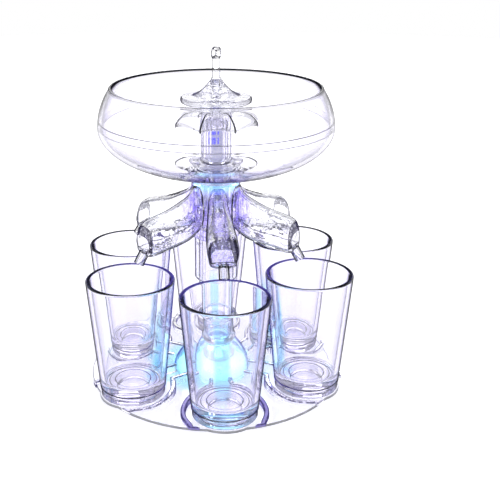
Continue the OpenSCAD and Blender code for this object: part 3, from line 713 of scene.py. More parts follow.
def add_piece(mesh, body, slot, *replaced):
    """Puts a mesh in the scene as a piece that rides on a body."""
    piece = bpy.data.objects.new(mesh.name, mesh)
    scene.collection.objects.link(piece)
    keep_flat = piece.modifiers.new("flat_faces_stay_flat", "WEIGHTED_NORMAL")
    keep_flat.keep_sharp = True
    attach(piece, body)
    if replaced:
        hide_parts(*replaced)
    print(f"{piece.name}: {len(mesh.polygons)} faces on {body}")
    return piece


def turned(name, outline, material, radius_at=None, is_line=None, mark=None):
    """Sweeps a closed outline of (radius, height) round the axis; radius_at(r, z, angle) can flute it.

    Faces between two outline points for which is_line(r, z, next r, next z) holds get the material mark.
    """
    points, faces, starts, marked = [], [], [], []
    single = [r < ON_AXIS for r, z in outline]
    for (r, z), on_axis in zip(outline, single):
        starts.append(len(points))
        for k in range(1 if on_axis else AROUND):
            a = 2 * math.pi * k / AROUND
            at = radius_at(r, z, a) if radius_at and not on_axis else r
            points.append((at * math.cos(a), at * math.sin(a), z))
    for i in range(len(outline)):
        j = (i + 1) % len(outline)
        if single[i] and single[j]:
            continue
        if is_line and is_line(*outline[i], *outline[j]):
            marked += range(len(faces), len(faces) + AROUND)
        for k in range(AROUND):
            m = (k + 1) % AROUND
            near = (starts[i],) if single[i] else (starts[i] + k, starts[i] + m)
            far = (starts[j],) if single[j] else (starts[j] + m, starts[j] + k)
            faces.append(near + far)
    return make_mesh(name, points, faces, material, marked, mark)


# %% [markdown]
# Two more helpers make the shapes that aren't round. A loft puts a skin over rings of points. Where bores
# or arms cross a form, Boolean modifiers join and cut closed meshes, and the result is kept as one mesh.


# %% Loft and join helpers
def band(a, b, count):
    """Faces between two rings of as many points, which start at points a and b."""
    return [(a + j, a + (j + 1) % count, b + (j + 1) % count, b + j) for j in range(count)]


def loft(rings, points, faces, marked=None, lines=()):
    """Adds the skin over rings of points, closed at both ends, to points and faces.

    The faces that start at the ring's points in lines are noted in marked.
    """
    count, base = len(rings[0]), len(points)
    for ring in rings:
        points += ring
    for i in range(len(rings) - 1):
        if marked is not None:
            marked += [len(faces) + j for j in lines]
        faces += band(base + i * count, base + (i + 1) * count, count)
    last = base + (len(rings) - 1) * count
    faces.append(tuple(range(base + count - 1, base - 1, -1)))
    faces.append(tuple(range(last, last + count)))


def combined(name, first, *steps):
    """The mesh first, joined with or cut by each mesh of steps, which are (operation, mesh) pairs."""
    for operation, mesh in steps:
        base = bpy.data.objects.new("base", first)
        tool = bpy.data.objects.new("tool", mesh)
        for obj in (base, tool):
            scene.collection.objects.link(obj)
        cut = base.modifiers.new("cut", "BOOLEAN")
        cut.operation = operation
        cut.object = tool
        cut.solver = "EXACT"
        cut.material_mode = "TRANSFER"
        first = bpy.data.meshes.new_from_object(base.evaluated_get(bpy.context.evaluated_depsgraph_get()))
        for obj in (base, tool):
            bpy.data.objects.remove(obj)
    first.name = name
    first.set_sharp_from_angle(angle=SHARP_ANGLE)
    return first


# %% [markdown]
# ## The bowl
# The bowl is glued from two halves. The lower one is nearly a flat dish with a neck under it, and the
# upper one leans in to a rounded rim, so each follows its own part of an ellipse. The lap between them
# stays open by a hair, and that is what draws the two lines round the bowl.

# %% Bowl
HUB_LOW = high("column_sleeve")
HUB_TOP = high("splitter_hub")
BOWL_R = reach("bowl_lower")
BOWL_WALL = 2.2
BOWL_LOW_Z = HUB_TOP + 4.3       # where the bowl's outside would meet the axis
BOWL_LOW_H = 27.9                # height of the ellipse below its widest place
BOWL_MID_Z = BOWL_LOW_Z + BOWL_LOW_H
BOWL_HIGH_H = 49.05              # height of the ellipse above it
BOWL_RIM_Z = high("bowl_upper")
BOWL_FLOOR_Z = BOWL_LOW_Z + 3.2  # the flat round the drain
SEAM_Z = high("bowl_lower")
SEAM_LAP = 4.1
SEAM_GAP = 0.1
NECK_R = 11.1
NECK_BORE_R = 9.6
NECK_LEN = 15.5
SUMP_R = 24                      # edge of that flat


def bowl_radius(z, inset):
    """Radius of the bowl's wall at height z, drawn in by inset."""
    if z < BOWL_MID_Z:
        share = (BOWL_MID_Z - z) / (BOWL_LOW_H - inset)
        return (BOWL_R - inset) * max(0, 1 - share ** 1.94) ** (1 / 2.1)
    share = (z - BOWL_MID_Z) / BOWL_HIGH_H
    return (BOWL_R - inset) * math.sqrt(1 - share ** 2)


def wall_line(z_from, z_to, inset, steps=24):
    """Outline of the bowl's wall between two heights, with points crowded to the lower one."""
    heights = [z_from + (z_to - z_from) * (1 - math.cos(math.pi / 2 * i / steps)) for i in range(steps + 1)]
    return [(bowl_radius(z, inset), z) for z in heights]


def bowl_lower_outline():
    """The lower half, from its neck out and up to the lap and back along the inside."""
    lap_z, neck_z = SEAM_Z - SEAM_LAP, HUB_TOP - NECK_LEN
    outer = [p for p in wall_line(BOWL_LOW_Z, BOWL_MID_Z, 0, 40) if p[0] > NECK_R + 2.6]
    lip = wall_line(BOWL_MID_Z, SEAM_Z, 0, 4)[1:]
    inner = [p for p in wall_line(BOWL_LOW_Z + BOWL_WALL, lap_z, BOWL_WALL, 40) if p[0] > SUMP_R]
    return [
        (NECK_BORE_R, neck_z), (NECK_R, neck_z), (NECK_R, HUB_TOP + 1), (NECK_R + 1.5, HUB_TOP + 1.4),
        *arc(NECK_R + 2.7, BOWL_LOW_Z - 0.8, 1.2, 180, 100, 4),
        *outer, *lip,
        (bowl_radius(SEAM_Z, BOWL_WALL / 2), SEAM_Z), (bowl_radius(lap_z, BOWL_WALL / 2), lap_z),
        *reversed(inner),
        (SUMP_R, inner[0][1] - 0.4), (SUMP_R - 0.6, BOWL_FLOOR_Z),
        *arc(NECK_BORE_R + 1, BOWL_FLOOR_Z - 1, 1, 90, 180, 4),
    ]


def bowl_upper_outline():
    """The upper half, with a rounded rim."""
    lap_z, round_r = SEAM_Z - SEAM_LAP, BOWL_WALL / 2
    top_z, lap_in = BOWL_RIM_Z - round_r, round_r + SEAM_GAP
    rise = [SEAM_Z + SEAM_GAP + (top_z - SEAM_Z) * i / 14 for i in range(14)]
    fall = [top_z + (lap_z + SEAM_GAP - top_z) * i / 20 for i in range(1, 21)]
    return [
        (bowl_radius(lap_z, lap_in), lap_z + SEAM_GAP), (bowl_radius(SEAM_Z, lap_in), SEAM_Z + SEAM_GAP),
        *[(bowl_radius(z, 0), z) for z in rise],
        *arc(bowl_radius(top_z, round_r), top_z, round_r, 0, 180, 10),
        *[(bowl_radius(z, BOWL_WALL), z) for z in fall],
    ]


def is_seam(r, z, next_r, next_z):
    """True on the two level steps of the lap, which glue has darkened."""
    return abs(z - next_z) < 0.01 and r > SUMP_R + 1 and next_r > SUMP_R + 1


def is_rim_line(r, z, next_r, next_z):
    """True on a narrow band outside on the rim's round, and on a wide one inside."""
    round_r = BOWL_WALL / 2
    middle_z = BOWL_RIM_Z - round_r
    middle_r = bowl_radius(middle_z, round_r)

    def turn(r, z):
        return abs(math.degrees(math.atan2(z - middle_z, r - middle_r)))

    first, last = sorted((turn(r, z), turn(next_r, next_z)))
    return min(z, next_z) > middle_z - 0.01 and ((first > 35 and last < 55) or first > 107)


def is_upper_line(r, z, next_r, next_z):
    """True on the upper half's dark faces: the lap's steps and the rim's lines."""
    return is_seam(r, z, next_r, next_z) or is_rim_line(r, z, next_r, next_z)


add_piece(turned("bowl_lower_half", bowl_lower_outline(), bowl_clear, is_line=is_seam, mark=seam_line),
          "bowl", "clear_acrylic", "bowl_lower")
add_piece(turned("bowl_upper_half", bowl_upper_outline(), bowl_clear, is_line=is_upper_line, mark=rim_line),
          "bowl", "clear_acrylic", "bowl_upper")

# %% [markdown]
# ## The shot glasses
# A shot glass looks heavy because its bottom is solid. Inside, the floor meets the wall in a fillet and
# has a ring in it. Outside, a groove runs above the foot and a shallow hollow is under it. The outline is
# swept once, and each glass is a copy of that mesh, moved to its seat.

# %% Glasses
STATION_R = SEAT_R / MM
GLASS_SEAT_Z = low("glass_1")
GLASS_H = high("glass_1") - GLASS_SEAT_Z
MOUTH_R = 25
FOOT_R = 18.4
GLASS_WALL = 2.4
GLASS_FLOOR = 9          # height of the floor inside
FLOOR_FILLET = 3
RING_R = 9.7             # moulded ring in the floor
BODY_Z = 7               # where the straight wall starts, over the groove


def slope_line(start, end, steps=8):
    """Points between two outline points, without the two."""
    (r0, z0), (r1, z1) = start, end
    return [(r0 + (r1 - r0) * i / steps, z0 + (z1 - z0) * i / steps) for i in range(1, steps)]


def glass_outline():
    """A shot glass in its own frame, from under the hollow foot over the rim to the floor."""
    rim = GLASS_WALL / 2
    rim_z = GLASS_H - rim
    fillet_r, fillet_z = FOOT_R + 0.8 - GLASS_WALL, GLASS_FLOOR + FLOOR_FILLET
    return [
        (0, 1.6), (6, 1.45), (8.6, 0.9), (RING_R, 0),
        *arc(FOOT_R - 1, 1, 1, -90, 0, 5),
        (FOOT_R, 3.6), (FOOT_R + 0.25, 4.3), (FOOT_R + 0.5, 4.8), (FOOT_R + 0.5, 5.4),
        (FOOT_R + 0.15, 5.9), (FOOT_R + 0.2, 6.4), (FOOT_R + 0.7, BODY_Z),
        *slope_line((FOOT_R + 0.7, BODY_Z), (MOUTH_R, rim_z)),
        *arc(MOUTH_R - rim, rim_z, rim, 0, 180, 12),
        *slope_line((MOUTH_R - GLASS_WALL, rim_z), (fillet_r, fillet_z)),
        *arc(fillet_r - FLOOR_FILLET, fillet_z, FLOOR_FILLET, 0, -90, 8),
        (fillet_r - FLOOR_FILLET - 0.5, GLASS_FLOOR),
        (RING_R + 0.8, GLASS_FLOOR), (RING_R + 0.3, GLASS_FLOOR - 0.15), (RING_R, GLASS_FLOOR - 0.55),
        (0, GLASS_FLOOR - 0.55),
    ]


def station_turn(k):
    """Turn about the column to station k, counted from the front."""
    return Matrix.Rotation(math.radians(-90 + 360 / STATIONS * k), 4, "Z")


def is_glass_ring(r, z, next_r, next_z):
    """True on the dark rings: in the floor, at its fillet, round the foot's groove and inside the rim."""
    middle = min(z, next_z) > GLASS_FLOOR - 1 and r < RING_R + 0.9 and next_r > RING_R + 0.1
    groove = r > FOOT_R and (3.5 < z < 4.2 or 5.3 < z < 5.85)
    fillet = z == GLASS_FLOOR == next_z and next_r > RING_R + 3.5
    rim = min(z, next_z) > GLASS_H - 0.62 and max(r, next_r) < MOUTH_R - GLASS_WALL / 2 + 0.35
    return middle or groove or fillet or rim


glass_mesh = turned("shot_glass", glass_outline(), glass_clear, is_line=is_glass_ring, mark=ring_line)
for k in range(STATIONS):
    seated = glass_mesh.copy()
    seated.name = f"shot_glass_{k + 1}"
    seated.transform(station_turn(k) @ Matrix.Translation((STATION_R * MM, 0, GLASS_SEAT_Z * MM)))
    add_piece(seated, f"shot_glass_{k + 1}", "clear_glass_plastic", f"glass_{k + 1}")

# %% [markdown]
# ## The tray
# The tray is one plate with a lobe under each glass. Its edge could be cut from joined cylinders, but the
# lobed outline is simply the larger of two radii at each angle, so it is swept as rings with a rounded
# edge. One hole is cut afterwards, where the button under the tray comes up.

# %% Tray plate
TRAY_R = 75.4 - INSET
TRAY_T = 1.5
LOBE_R = FOOT_R + 0.9 - INSET
TRAY_STEPS = 720
COVER_HOLE_R = 16.3      # hole for the cell cover


def tray_radius(a):
    """Radius of the tray's edge at angle a."""
    around = 2 * math.pi / STATIONS
    off = (a + math.pi / 2 + around / 2) % around - around / 2
    under = LOBE_R ** 2 - (STATION_R * math.sin(off)) ** 2
    lobe = STATION_R * math.cos(off) + math.sqrt(under) if under > 0 else 0
    return max(TRAY_R, lobe)


def tray_mesh():
    """The plate: rings from the middle hole over the top, round the edge and back underneath.

    The edge's rings are given by how far they lie in from the outline.
    """
    top_rings = [(COVER_HOLE_R, INSET), (COVER_HOLE_R, TRAY_T - 0.2), (COVER_HOLE_R + 0.2, TRAY_T),
                 (30, TRAY_T), (60, TRAY_T)]
    edge_rings = [(0.5, TRAY_T), (0.15, TRAY_T - 0.15), (0, TRAY_T - 0.5),
                  (0, 0.5), (0.15, 0.15), (0.5, INSET)]
    under_rings = [(60, INSET), (30, INSET)]
    turns = [2 * math.pi * k / TRAY_STEPS for k in range(TRAY_STEPS)]
    rings = [[(r, a, z) for a in turns] for r, z in top_rings]
    rings += [[(tray_radius(a) - back, a, z) for a in turns] for back, z in edge_rings]
    rings += [[(r, a, z) for a in turns] for r, z in under_rings]
    points = [(r * math.cos(a), r * math.sin(a), z) for ring in rings for r, a, z in ring]
    faces = []
    for i in range(len(rings)):
        faces += band(i * TRAY_STEPS, (i + 1) % len(rings) * TRAY_STEPS, TRAY_STEPS)
    first_edge = len(top_rings) * TRAY_STEPS
    edge_faces = range(first_edge, first_edge + (len(edge_rings) - 1) * TRAY_STEPS)
    return make_mesh("tray_plate", points, faces, tray_clear, edge_faces, tray_line)


def button_hole_mesh():
    """A rod through the plate where the button under the tray comes up."""
    lowest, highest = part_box("switch_button")
    x, y = (lowest.x + highest.x) / 2 / MM, (lowest.y + highest.y) / 2 / MM
    hole_r = (highest.x - lowest.x) / 2 / MM + 0.25
    turns = [2 * math.pi * i / 40 for i in range(40)]
    rings = [[(x + hole_r * math.cos(a), y + hole_r * math.sin(a), z) for a in turns] for z in (-2, 4)]
    points, faces = [], []
    loft(rings, points, faces)
    return make_mesh("button_hole", points, faces, tray_clear)


plate = combined("tray_plate", tray_mesh(), ("DIFFERENCE", button_hole_mesh()))
add_piece(plate, "base", "clear_acrylic", "base_tray")

# %% [markdown]
# ## The fences
# Two curved fences hold each glass. Each is a strip of even thickness that gets lower towards the tray's
# edge and ends in a round post. It is lofted: a rounded section is carried along the fence's line, with
# its width and height worked out at each step.

# %% Fences
FENCE_R = 23.3           # middle line of a fence, from the middle of its glass
FENCE_HALF_T = 1.45
FENCE_HIGH, FENCE_LOW = TRAY_T + 5, TRAY_T + 1.8
POST_R = 2.6
POST_SHIFT = 1.5         # how far the post stands outside the fence's middle line
POST_A, ROOT_A = 46, 163 # angles of the post and of the fence's root, seen from the glass
BELL_FOOT_R = 25.6
TIP_REACH = TRAY_R + 1.1 # no tip stands further out than this


def fence_line():
    """Points (x, y, half width) of the middle line, seen from the glass, from the bell to the tip."""
    root = math.radians(ROOT_A)
    root_y = FENCE_R * math.sin(root)
    start_x = math.sqrt((BELL_FOOT_R + 0.3) ** 2 - (root_y - FENCE_HALF_T) ** 2) - STATION_R
    line = [(start_x + (FENCE_R * math.cos(root) - start_x) * i / 4, root_y, FENCE_HALF_T) for i in range(4)]
    stop_a = POST_A + math.degrees(POST_R / FENCE_R)
    for i in range(31):
        a = ROOT_A + (stop_a - ROOT_A) * i / 30
        r = FENCE_R + max(0, 1 - (a - stop_a) / 14) ** 2 * POST_SHIFT
        line.append((r * math.cos(math.radians(a)), r * math.sin(math.radians(a)), FENCE_HALF_T))
    post_r = FENCE_R + POST_SHIFT
    for i in range(1, 13):
        along = -POST_R + 2 * POST_R * i / 12
        a = math.radians(POST_A) - along / post_r
        half = math.sqrt(max(0.02, POST_R ** 2 - along ** 2))
        least = FENCE_HALF_T if along < 0 else 0.12
        line.append((post_r * math.cos(a), post_r * math.sin(a), max(half, least)))
    return line


def fence_height(x, y):
    """Height of a fence's top at a point seen from the glass."""
    r = math.hypot(x + STATION_R, y)
    inner_r, outer_r = STATION_R - FOOT_R, TRAY_R - 12
    share = min(1, max(0, (r - inner_r) / (outer_r - inner_r)))
    return FENCE_HIGH + (FENCE_LOW - FENCE_HIGH) * share


def fence_points(side):
    """Rings of the lofted strip on one side of the glass."""
    line = fence_line()
    rings = []
    for i, (x, y, half) in enumerate(line):
        before, after = line[max(0, i - 1)], line[min(len(line) - 1, i + 1)]
        across = Vector((before[1] - after[1], after[0] - before[0])).normalized()
        top = fence_height(x, y)
        round_r = min(0.7, half * 0.6)
        bevel = round_r * 0.3
        section = [(-half, TRAY_T + INSET), (half, TRAY_T + INSET),
                   (half, top - round_r), (half - bevel, top - bevel), (half - round_r, top),
                   (-half + round_r, top), (-half + bevel, top - bevel), (-half, top - round_r)]
        ring = []
        for offset, z in section:
            px, py = x + across.x * offset, y + across.y * offset
            r = math.hypot(px + STATION_R, py)
            keep = min(1, TIP_REACH / r)
            ring.append(((px + STATION_R) * keep, side * py * keep, z))
        rings.append(ring)
    return rings


def fences_mesh():
    """All twelve fences, with their rounded upper edges marked as lines."""
    points, faces, marked = [], [], []
    bevels = (2, 3, 5, 6)
    for k in range(STATIONS):
        turn = station_turn(k)
        for side in (1, -1):
            rings = [[tuple(turn @ Vector(p)) for p in ring] for ring in fence_points(side)]
            loft(rings, points, faces, marked, bevels)
    return make_mesh("tray_fences", points, faces, fence_clear, marked, fence_line_mark)


add_piece(fences_mesh(), "base", "clear_acrylic")

# %% [markdown]
# ## The foot of the column
# A flared bell covers the lamp and a turned collar joins it to the column. Both are thin clear shells, so
# their inside is drawn too. The sleeve that hangs from the splitter ends in a rolled lip.

# %% Bell, collar and sleeve
COLUMN_R = reach("column_tube")
BELL_TOP_Z = high("lamp_bell")
BELL_NECK_R = COLUMN_R + 2.6
BELL_WALL = 1.8
SLEEVE_R = reach("column_sleeve")


def bell_outline():
    """The flared skirt, outside up and inside down."""
    def skirt(u):
        return BELL_NECK_R + (BELL_FOOT_R - BELL_NECK_R) * max(0, math.cos(math.pi / 2 * u)) ** 1.3

    bottom, height = TRAY_T + INSET, BELL_TOP_Z - TRAY_T
    hole_r = COLUMN_R - 2
    steps = [i / 28 for i in range(29)]
    return [
        *[(skirt(u), bottom + (height - 2 * INSET) * u) for u in steps],
        (hole_r, BELL_TOP_Z - INSET), (hole_r, BELL_TOP_Z - BELL_WALL),
        *[(skirt(u) - BELL_WALL, bottom + (height - BELL_WALL) * u) for u in reversed(steps)],
    ]


def collar_outline():
    """Two beads on a waisted collar."""
    bore, z, top = COLUMN_R + 0.1, BELL_TOP_Z + INSET, high("column_collar")
    neck = BELL_NECK_R
    return [
        (bore, z), (neck - 0.6, z), *arc(neck - 1.1, z + 1.5, 1.5, -60, 60, 6), (neck - 0.9, z + 3.6),
        (neck - 1.3, z + 5), (neck - 1.4, top - 5.2), (neck - 1, top - 4),
        *arc(neck - 1.5, top - 1.9, 1.7, -62, 75, 7), (neck - 1.3, top), (bore, top),
    ]


def sleeve_outline():
    """A plain sleeve with a rolled lower lip."""
    bore, bottom = COLUMN_R + 0.3, low("column_sleeve")
    lip_r = (SLEEVE_R - bore) / 2
    top = HUB_LOW - INSET
    return [(bore, top), *arc(bore + lip_r, bottom + lip_r, lip_r, 180, 360, 12), (SLEEVE_R, top)]


add_piece(turned("bell_shell", bell_outline(), bell_lit), "base", "clear_acrylic", "lamp_bell")
add_piece(turned("beaded_collar", collar_outline(), column_clear), "base", "clear_acrylic", "column_collar")
sleeve = turned("rolled_sleeve", sleeve_outline(), column_clear)
add_piece(sleeve, "splitter", "clear_acrylic", "column_sleeve")

# %% [markdown]
# ## The splitter's arms
# Six hoods carry the drink from the hub to the nozzles. They are the hardest shape here: the hood swells,
# sinks and ends in a steep rounded wall. A subdivided box would round too much, so the hood is lofted.
# Its top, its lower edge and its half width are smooth lines along the arm, and an arched section with a
# true wall is carried along them.

# %% Arm hoods
ARM_TOP = [(11, 32.6), (14, 32.2), (15.5, 29.4), (17.4, 27.2), (22.2, 24.4), (31.9, 20.2), (41.3, 17.9),
           (46.5, 16.2), (48.6, 13.8), (49.9, 9)]
ARM_LOW = [(11, 6.4), (14, 6.4), (15.5, 5.2), (21.8, 1.9), (29.5, 0.3), (38.7, -1.2),
           (47.8, -2.4), (49.9, -1.2)]
ARM_HALF_W = [(11, 5.8), (14, 6.1), (22, 7.6), (32, 8.8), (42, 9.25), (48, 8.9), (49.9, 7.4)]
ARM_JOINT = 3.2          # height of the joint between hood and trough over the arm's lower edge
JOINT_SHARE = 0.84       # width of an arm at its joint, as a share of its greatest width
ARM_WALL = 1.6
HUB_R = SLEEVE_R + 0.8
ROOT_R = 14              # an arm's first ring, which is bent round the hub
ARCH_POINTS = 29         # points across an arm, outside and again inside


def smooth(table, r):
    """The value at r of a smooth line through the table's points."""
    i = max(0, min(len(table) - 2, sum(1 for x, _ in table if x <= r) - 1))

    def slope(j):
        a, b = table[max(0, j - 1)], table[min(len(table) - 1, j + 1)]
        return (b[1] - a[1]) / (b[0] - a[0])

    (x0, y0), (x1, y1) = table[i], table[i + 1]
    span, t = x1 - x0, (r - x0) / (x1 - x0)
    return (y0 * (1 + 2 * t) * (1 - t) ** 2 + y1 * t * t * (3 - 2 * t)
            + span * t * (1 - t) * (slope(i) * (1 - t) - slope(i + 1) * t))


def hood_ring(r, solid_end):
    """Outer arch and inner arch (or, where the end is solid, a shallow line) at distance r."""
    foot = HUB_LOW + smooth(ARM_LOW, r) + ARM_JOINT
    peak = HUB_LOW + smooth(ARM_TOP, r)
    half = smooth(ARM_HALF_W, r)

    def arch(inset, top):
        found = []
        for i in range(ARCH_POINTS):
            a = math.pi * i / (ARCH_POINTS - 1)
            rise = max(0, math.sin(a)) ** 0.62
            bulge = math.sin(math.pi / 2 * min(1, rise / 0.6))
            swell = JOINT_SHARE + (1 - JOINT_SHARE) * bulge - 0.1 * rise ** 2
            y = (half * swell - inset) * math.copysign(abs(math.cos(a)) ** 0.5, math.cos(a))
            x = math.sqrt((HUB_R + 0.1) ** 2 - y * y) if r < ROOT_R else r
            found.append((x, y, foot + (top - foot) * rise))
        return found

    inner = arch(ARM_WALL, foot + 0.3) if solid_end else arch(ARM_WALL, peak - ARM_WALL)
    return arch(0, peak) + inner[::-1]


def six_shells(name, rings, dark_from):
    """Six copies of a shell over rings of outer and inner points, closed at both ends by strips.

    Its joint faces, and the outer faces from ring number dark_from on, are marked as lines.
    """
    points, faces, marked = [], [], []
    count = 2 * ARCH_POINTS
    for k in range(STATIONS):
        turn, base = station_turn(k), len(points)
        for ring in rings:
            points += [tuple(turn @ Vector(p)) for p in ring]
        for i in range(len(rings) - 1):
            dark = [ARCH_POINTS - 1, count - 1] + list(range(ARCH_POINTS - 1) if i >= dark_from else [])
            marked += [len(faces) + j for j in dark]
            faces += band(base + i * count, base + (i + 1) * count, count)
        for start in (base, base + (len(rings) - 1) * count):
            faces += [(start + j, start + j + 1, start + count - 2 - j, start + count - 1 - j)
                      for j in range(ARCH_POINTS - 1)]
    return make_mesh(name, points, faces, arm_clear, marked, end_line)


def hoods_mesh():
    """All six hoods, each closed where it ends and dark round its end."""
    body_stops = [ROOT_R - 0.1, *[ROOT_R + (46.5 - ROOT_R) * i / 26 for i in range(27)], 47.1, 47.64]
    end_stops = [47.74, 48.2, 48.6, 49, 49.35, 49.65, 49.85]
    rings = [hood_ring(r, False) for r in body_stops] + [hood_ring(r, True) for r in end_stops]
    return six_shells("splitter_hoods", rings, len(body_stops) + 1)


add_piece(hoods_mesh(), "splitter", "clear_acrylic", "arm_hoods")

# %% [markdown]
# Under the hoods lies one moulding: a cup on the column, six troughs and six nozzles. Its bores and arms
# cross, which no loft can follow, so the closed parts are joined and cut with Boolean modifiers, and the
# result is kept as one mesh. The nozzles bring their own finish with them, because a slim tube needs a
# wider dark outline.

# %% Splitter base
TROUGH_GAP = 0.1         # gap of the joint
CUP_FLOOR_Z = HUB_LOW + 8
CUP_BORE_R = 11.4
CUP_MIDDLE_R = 1         # the cup's floor is closed inside this radius
WINDOW_A = 0.33          # half angle of the cup's opening to an arm
NOZZLE_AT = 48.6         # distance at which the arm's lower edge gives the nozzle its height
NOZZLE_FOOT = Vector((47.3, 0, HUB_LOW + smooth(ARM_LOW, NOZZLE_AT) + ARM_JOINT + 1.05))
NOZZLE_TOP = HUB_LOW + smooth(ARM_LOW, NOZZLE_AT) + ARM_JOINT - 0.4
NOZZLE_LEAN = math.radians(32)
NOZZLE_LEN = 10.3
NOZZLE_R, NOZZLE_BORE_R = 2.98, 1.7
NOZZLE_SIDES = 32


def joint_height(r):
    """Height of the moulding's upper edge at distance r."""
    return HUB_LOW + smooth(ARM_LOW, r) + ARM_JOINT - TROUGH_GAP


def cup_mesh():
    """The cup that sits on the column, with a low place in its wall at each arm."""
    joint = joint_height(ROOT_R)
    around = 2 * math.pi / STATIONS

    def wall_top(a):
        off = abs((a + math.pi / 2 + around / 2) % around - around / 2)
        return CUP_FLOOR_Z + 0.05 if off < WINDOW_A else joint

    socket_r = COLUMN_R + 0.3
    socket_z = high("column_tube") + 0.3
    bottom, closed = HUB_LOW + INSET, (CUP_MIDDLE_R, CUP_FLOOR_Z)
    rows = [(socket_r, bottom), (HUB_R - 0.5, bottom), (HUB_R, HUB_LOW + 0.5),
            (HUB_R, None), (CUP_BORE_R, None), (CUP_BORE_R, CUP_FLOOR_Z),
            closed, (CUP_MIDDLE_R, socket_z), (socket_r, socket_z)]
    points, faces = [], []
    for r, z in rows:
        for k in range(AROUND):
            a = 2 * math.pi * (k + 0.5) / AROUND
            points.append((r * math.cos(a), r * math.sin(a), wall_top(a) if z is None else z))
    for i in range(len(rows)):
        a, b = i * AROUND, (i + 1) % len(rows) * AROUND
        if rows[i] == closed:
            faces += [tuple(range(a, a + AROUND)), tuple(range(b + AROUND - 1, b - 1, -1))]
        else:
            faces += band(a, b, AROUND)
    return make_mesh("hub_cup", points, faces, hub_clear)


def trough_ring(r, solid_end):
    """The U of a trough at distance r: its outside, and back along its inside."""
    joint = joint_height(r)
    half = smooth(ARM_HALF_W, r) * JOINT_SHARE

    def bend(inset, depth):
        turns = [math.pi * i / (ARCH_POINTS - 1) for i in range(ARCH_POINTS)]
        return [(r, (half - inset) * math.copysign(abs(math.cos(a)) ** 0.7, math.cos(a)),
                 joint - depth * max(0, math.sin(a)) ** 0.8) for a in turns]

    inner = bend(ARM_WALL, 0.3 if solid_end else ARM_JOINT - ARM_WALL)
    return bend(0, ARM_JOINT - TROUGH_GAP) + inner[::-1]


def troughs_mesh():
    """All six troughs, each with a solid end."""
    open_stops = [12.4 + (46.6 - 12.4) * i / 24 for i in range(25)] + [47.6]
    end_stops = [47.7, 48.4, 49.1, 49.85]
    rings = [trough_ring(r, False) for r in open_stops] + [trough_ring(r, True) for r in end_stops]
    return six_shells("arm_troughs", rings, len(rings))


def slanted_rods(name, radius, start, end, level_top=None):
    """Six rods along the nozzles' lines, from start to end mm down each.

    With level_top the upper ends are cut level at that height.
    """
    points, faces = [], []
    lean = Matrix.Rotation(-NOZZLE_LEAN, 4, "Y")
    down = lean @ Vector((0, 0, -1))

    def rod_ring(along):
        turns = [-2 * math.pi * j / NOZZLE_SIDES for j in range(NOZZLE_SIDES)]
        ring = [NOZZLE_FOOT + lean @ Vector((radius * math.cos(a), radius * math.sin(a), -along))
                for a in turns]
        if level_top and along == start:
            ring = [spot + down * ((spot.z - level_top) / math.cos(NOZZLE_LEAN)) for spot in ring]
        return ring

    for k in range(STATIONS):
        turn = station_turn(k)
        loft([[tuple(turn @ spot) for spot in rod_ring(along)] for along in (start, end)], points, faces)
    return make_mesh(name, points, faces, nozzle_clear)


base_mesh = combined(
    "cup_and_troughs", cup_mesh(), ("UNION", troughs_mesh()),
    ("UNION", slanted_rods("nozzle_rods", NOZZLE_R, 0, NOZZLE_LEN, NOZZLE_TOP)),
    ("DIFFERENCE", slanted_rods("nozzle_bores", NOZZLE_BORE_R, -2, NOZZLE_LEN + 2)))
add_piece(base_mesh, "splitter", "clear_acrylic", "splitter_base")

# %% [markdown]
# ## The valve tube
# The handle lifts a tube with twelve ribs and a wide flange at its foot. Ribs on a turned piece take one
# more rule for its radius: the outline stays a list of points, and the angle adds the rest.

# %% Lift tube, its collar and the lamp post
LIFT_R = 8.8
LIFT_LOW_Z = BOWL_FLOOR_Z + 1.7
LIFT_TOP_Z = high("lift_tube")
FLANGE_R = reach("lift_tube") - INSET
FLUTES = 12
POST_TUBE_R = LIFT_R - 2
POST_TOP_Z = high("light_post")
ROD_R = 2.25
ROD_BORE_R = ROD_R + 0.1


def fluted(r, z, a):
    """Ribs on the outside of the lift tube, fading out at both of its ends."""
    if not LIFT_R - 0.6 < r < LIFT_R:
        return r
    fade = min(1, max(0, (z - LIFT_LOW_Z - 4) / 1.5), max(0, (LIFT_TOP_Z - 3 - z) / 1))
    return r + (LIFT_R - r) * fade * max(0, math.cos(FLUTES * a)) ** 3


def lift_outline():
    """The tube over its flange, open below for the lamp post."""
    z, bore, skin = LIFT_LOW_Z, POST_TUBE_R + 0.3, LIFT_R - 0.5
    rise = [z + 4.4 + (LIFT_TOP_Z - z - 5.4) * i / 16 for i in range(17)]
    return [
        (bore, z), (FLANGE_R - 0.3, z), (FLANGE_R, z + 0.3), (FLANGE_R, z + 0.9), (FLANGE_R - 0.9, z + 1.6),
        (LIFT_R + 2.4, z + 2), *arc(LIFT_R + 1.6, z + 4.3, 2.1, -90, -180, 5)[1:],
        *[(skin, h) for h in rise], *arc(skin - 0.8, LIFT_TOP_Z - 0.8, 0.8, 0, 90, 4),
        (ROD_BORE_R, LIFT_TOP_Z), (ROD_BORE_R, LIFT_TOP_Z - 2.9), (bore, LIFT_TOP_Z - 2.9),
    ]


def post_outline():
    """The closed post with its round end."""
    z, dome = low("light_post"), POST_TUBE_R / 2
    inner_r, dome_z = POST_TUBE_R - 1, POST_TOP_Z - dome

    def half_round(r, middle_z, height):
        turns = [math.pi / 2 * i / 12 for i in range(12)]
        return [(r * math.cos(a), middle_z + height * math.sin(a)) for a in turns] + [(0, middle_z + height)]

    return [(inner_r, z), (POST_TUBE_R, z), *half_round(POST_TUBE_R, dome_z, dome),
            *half_round(inner_r, dome_z - 1, dome - 0.4)[::-1]]


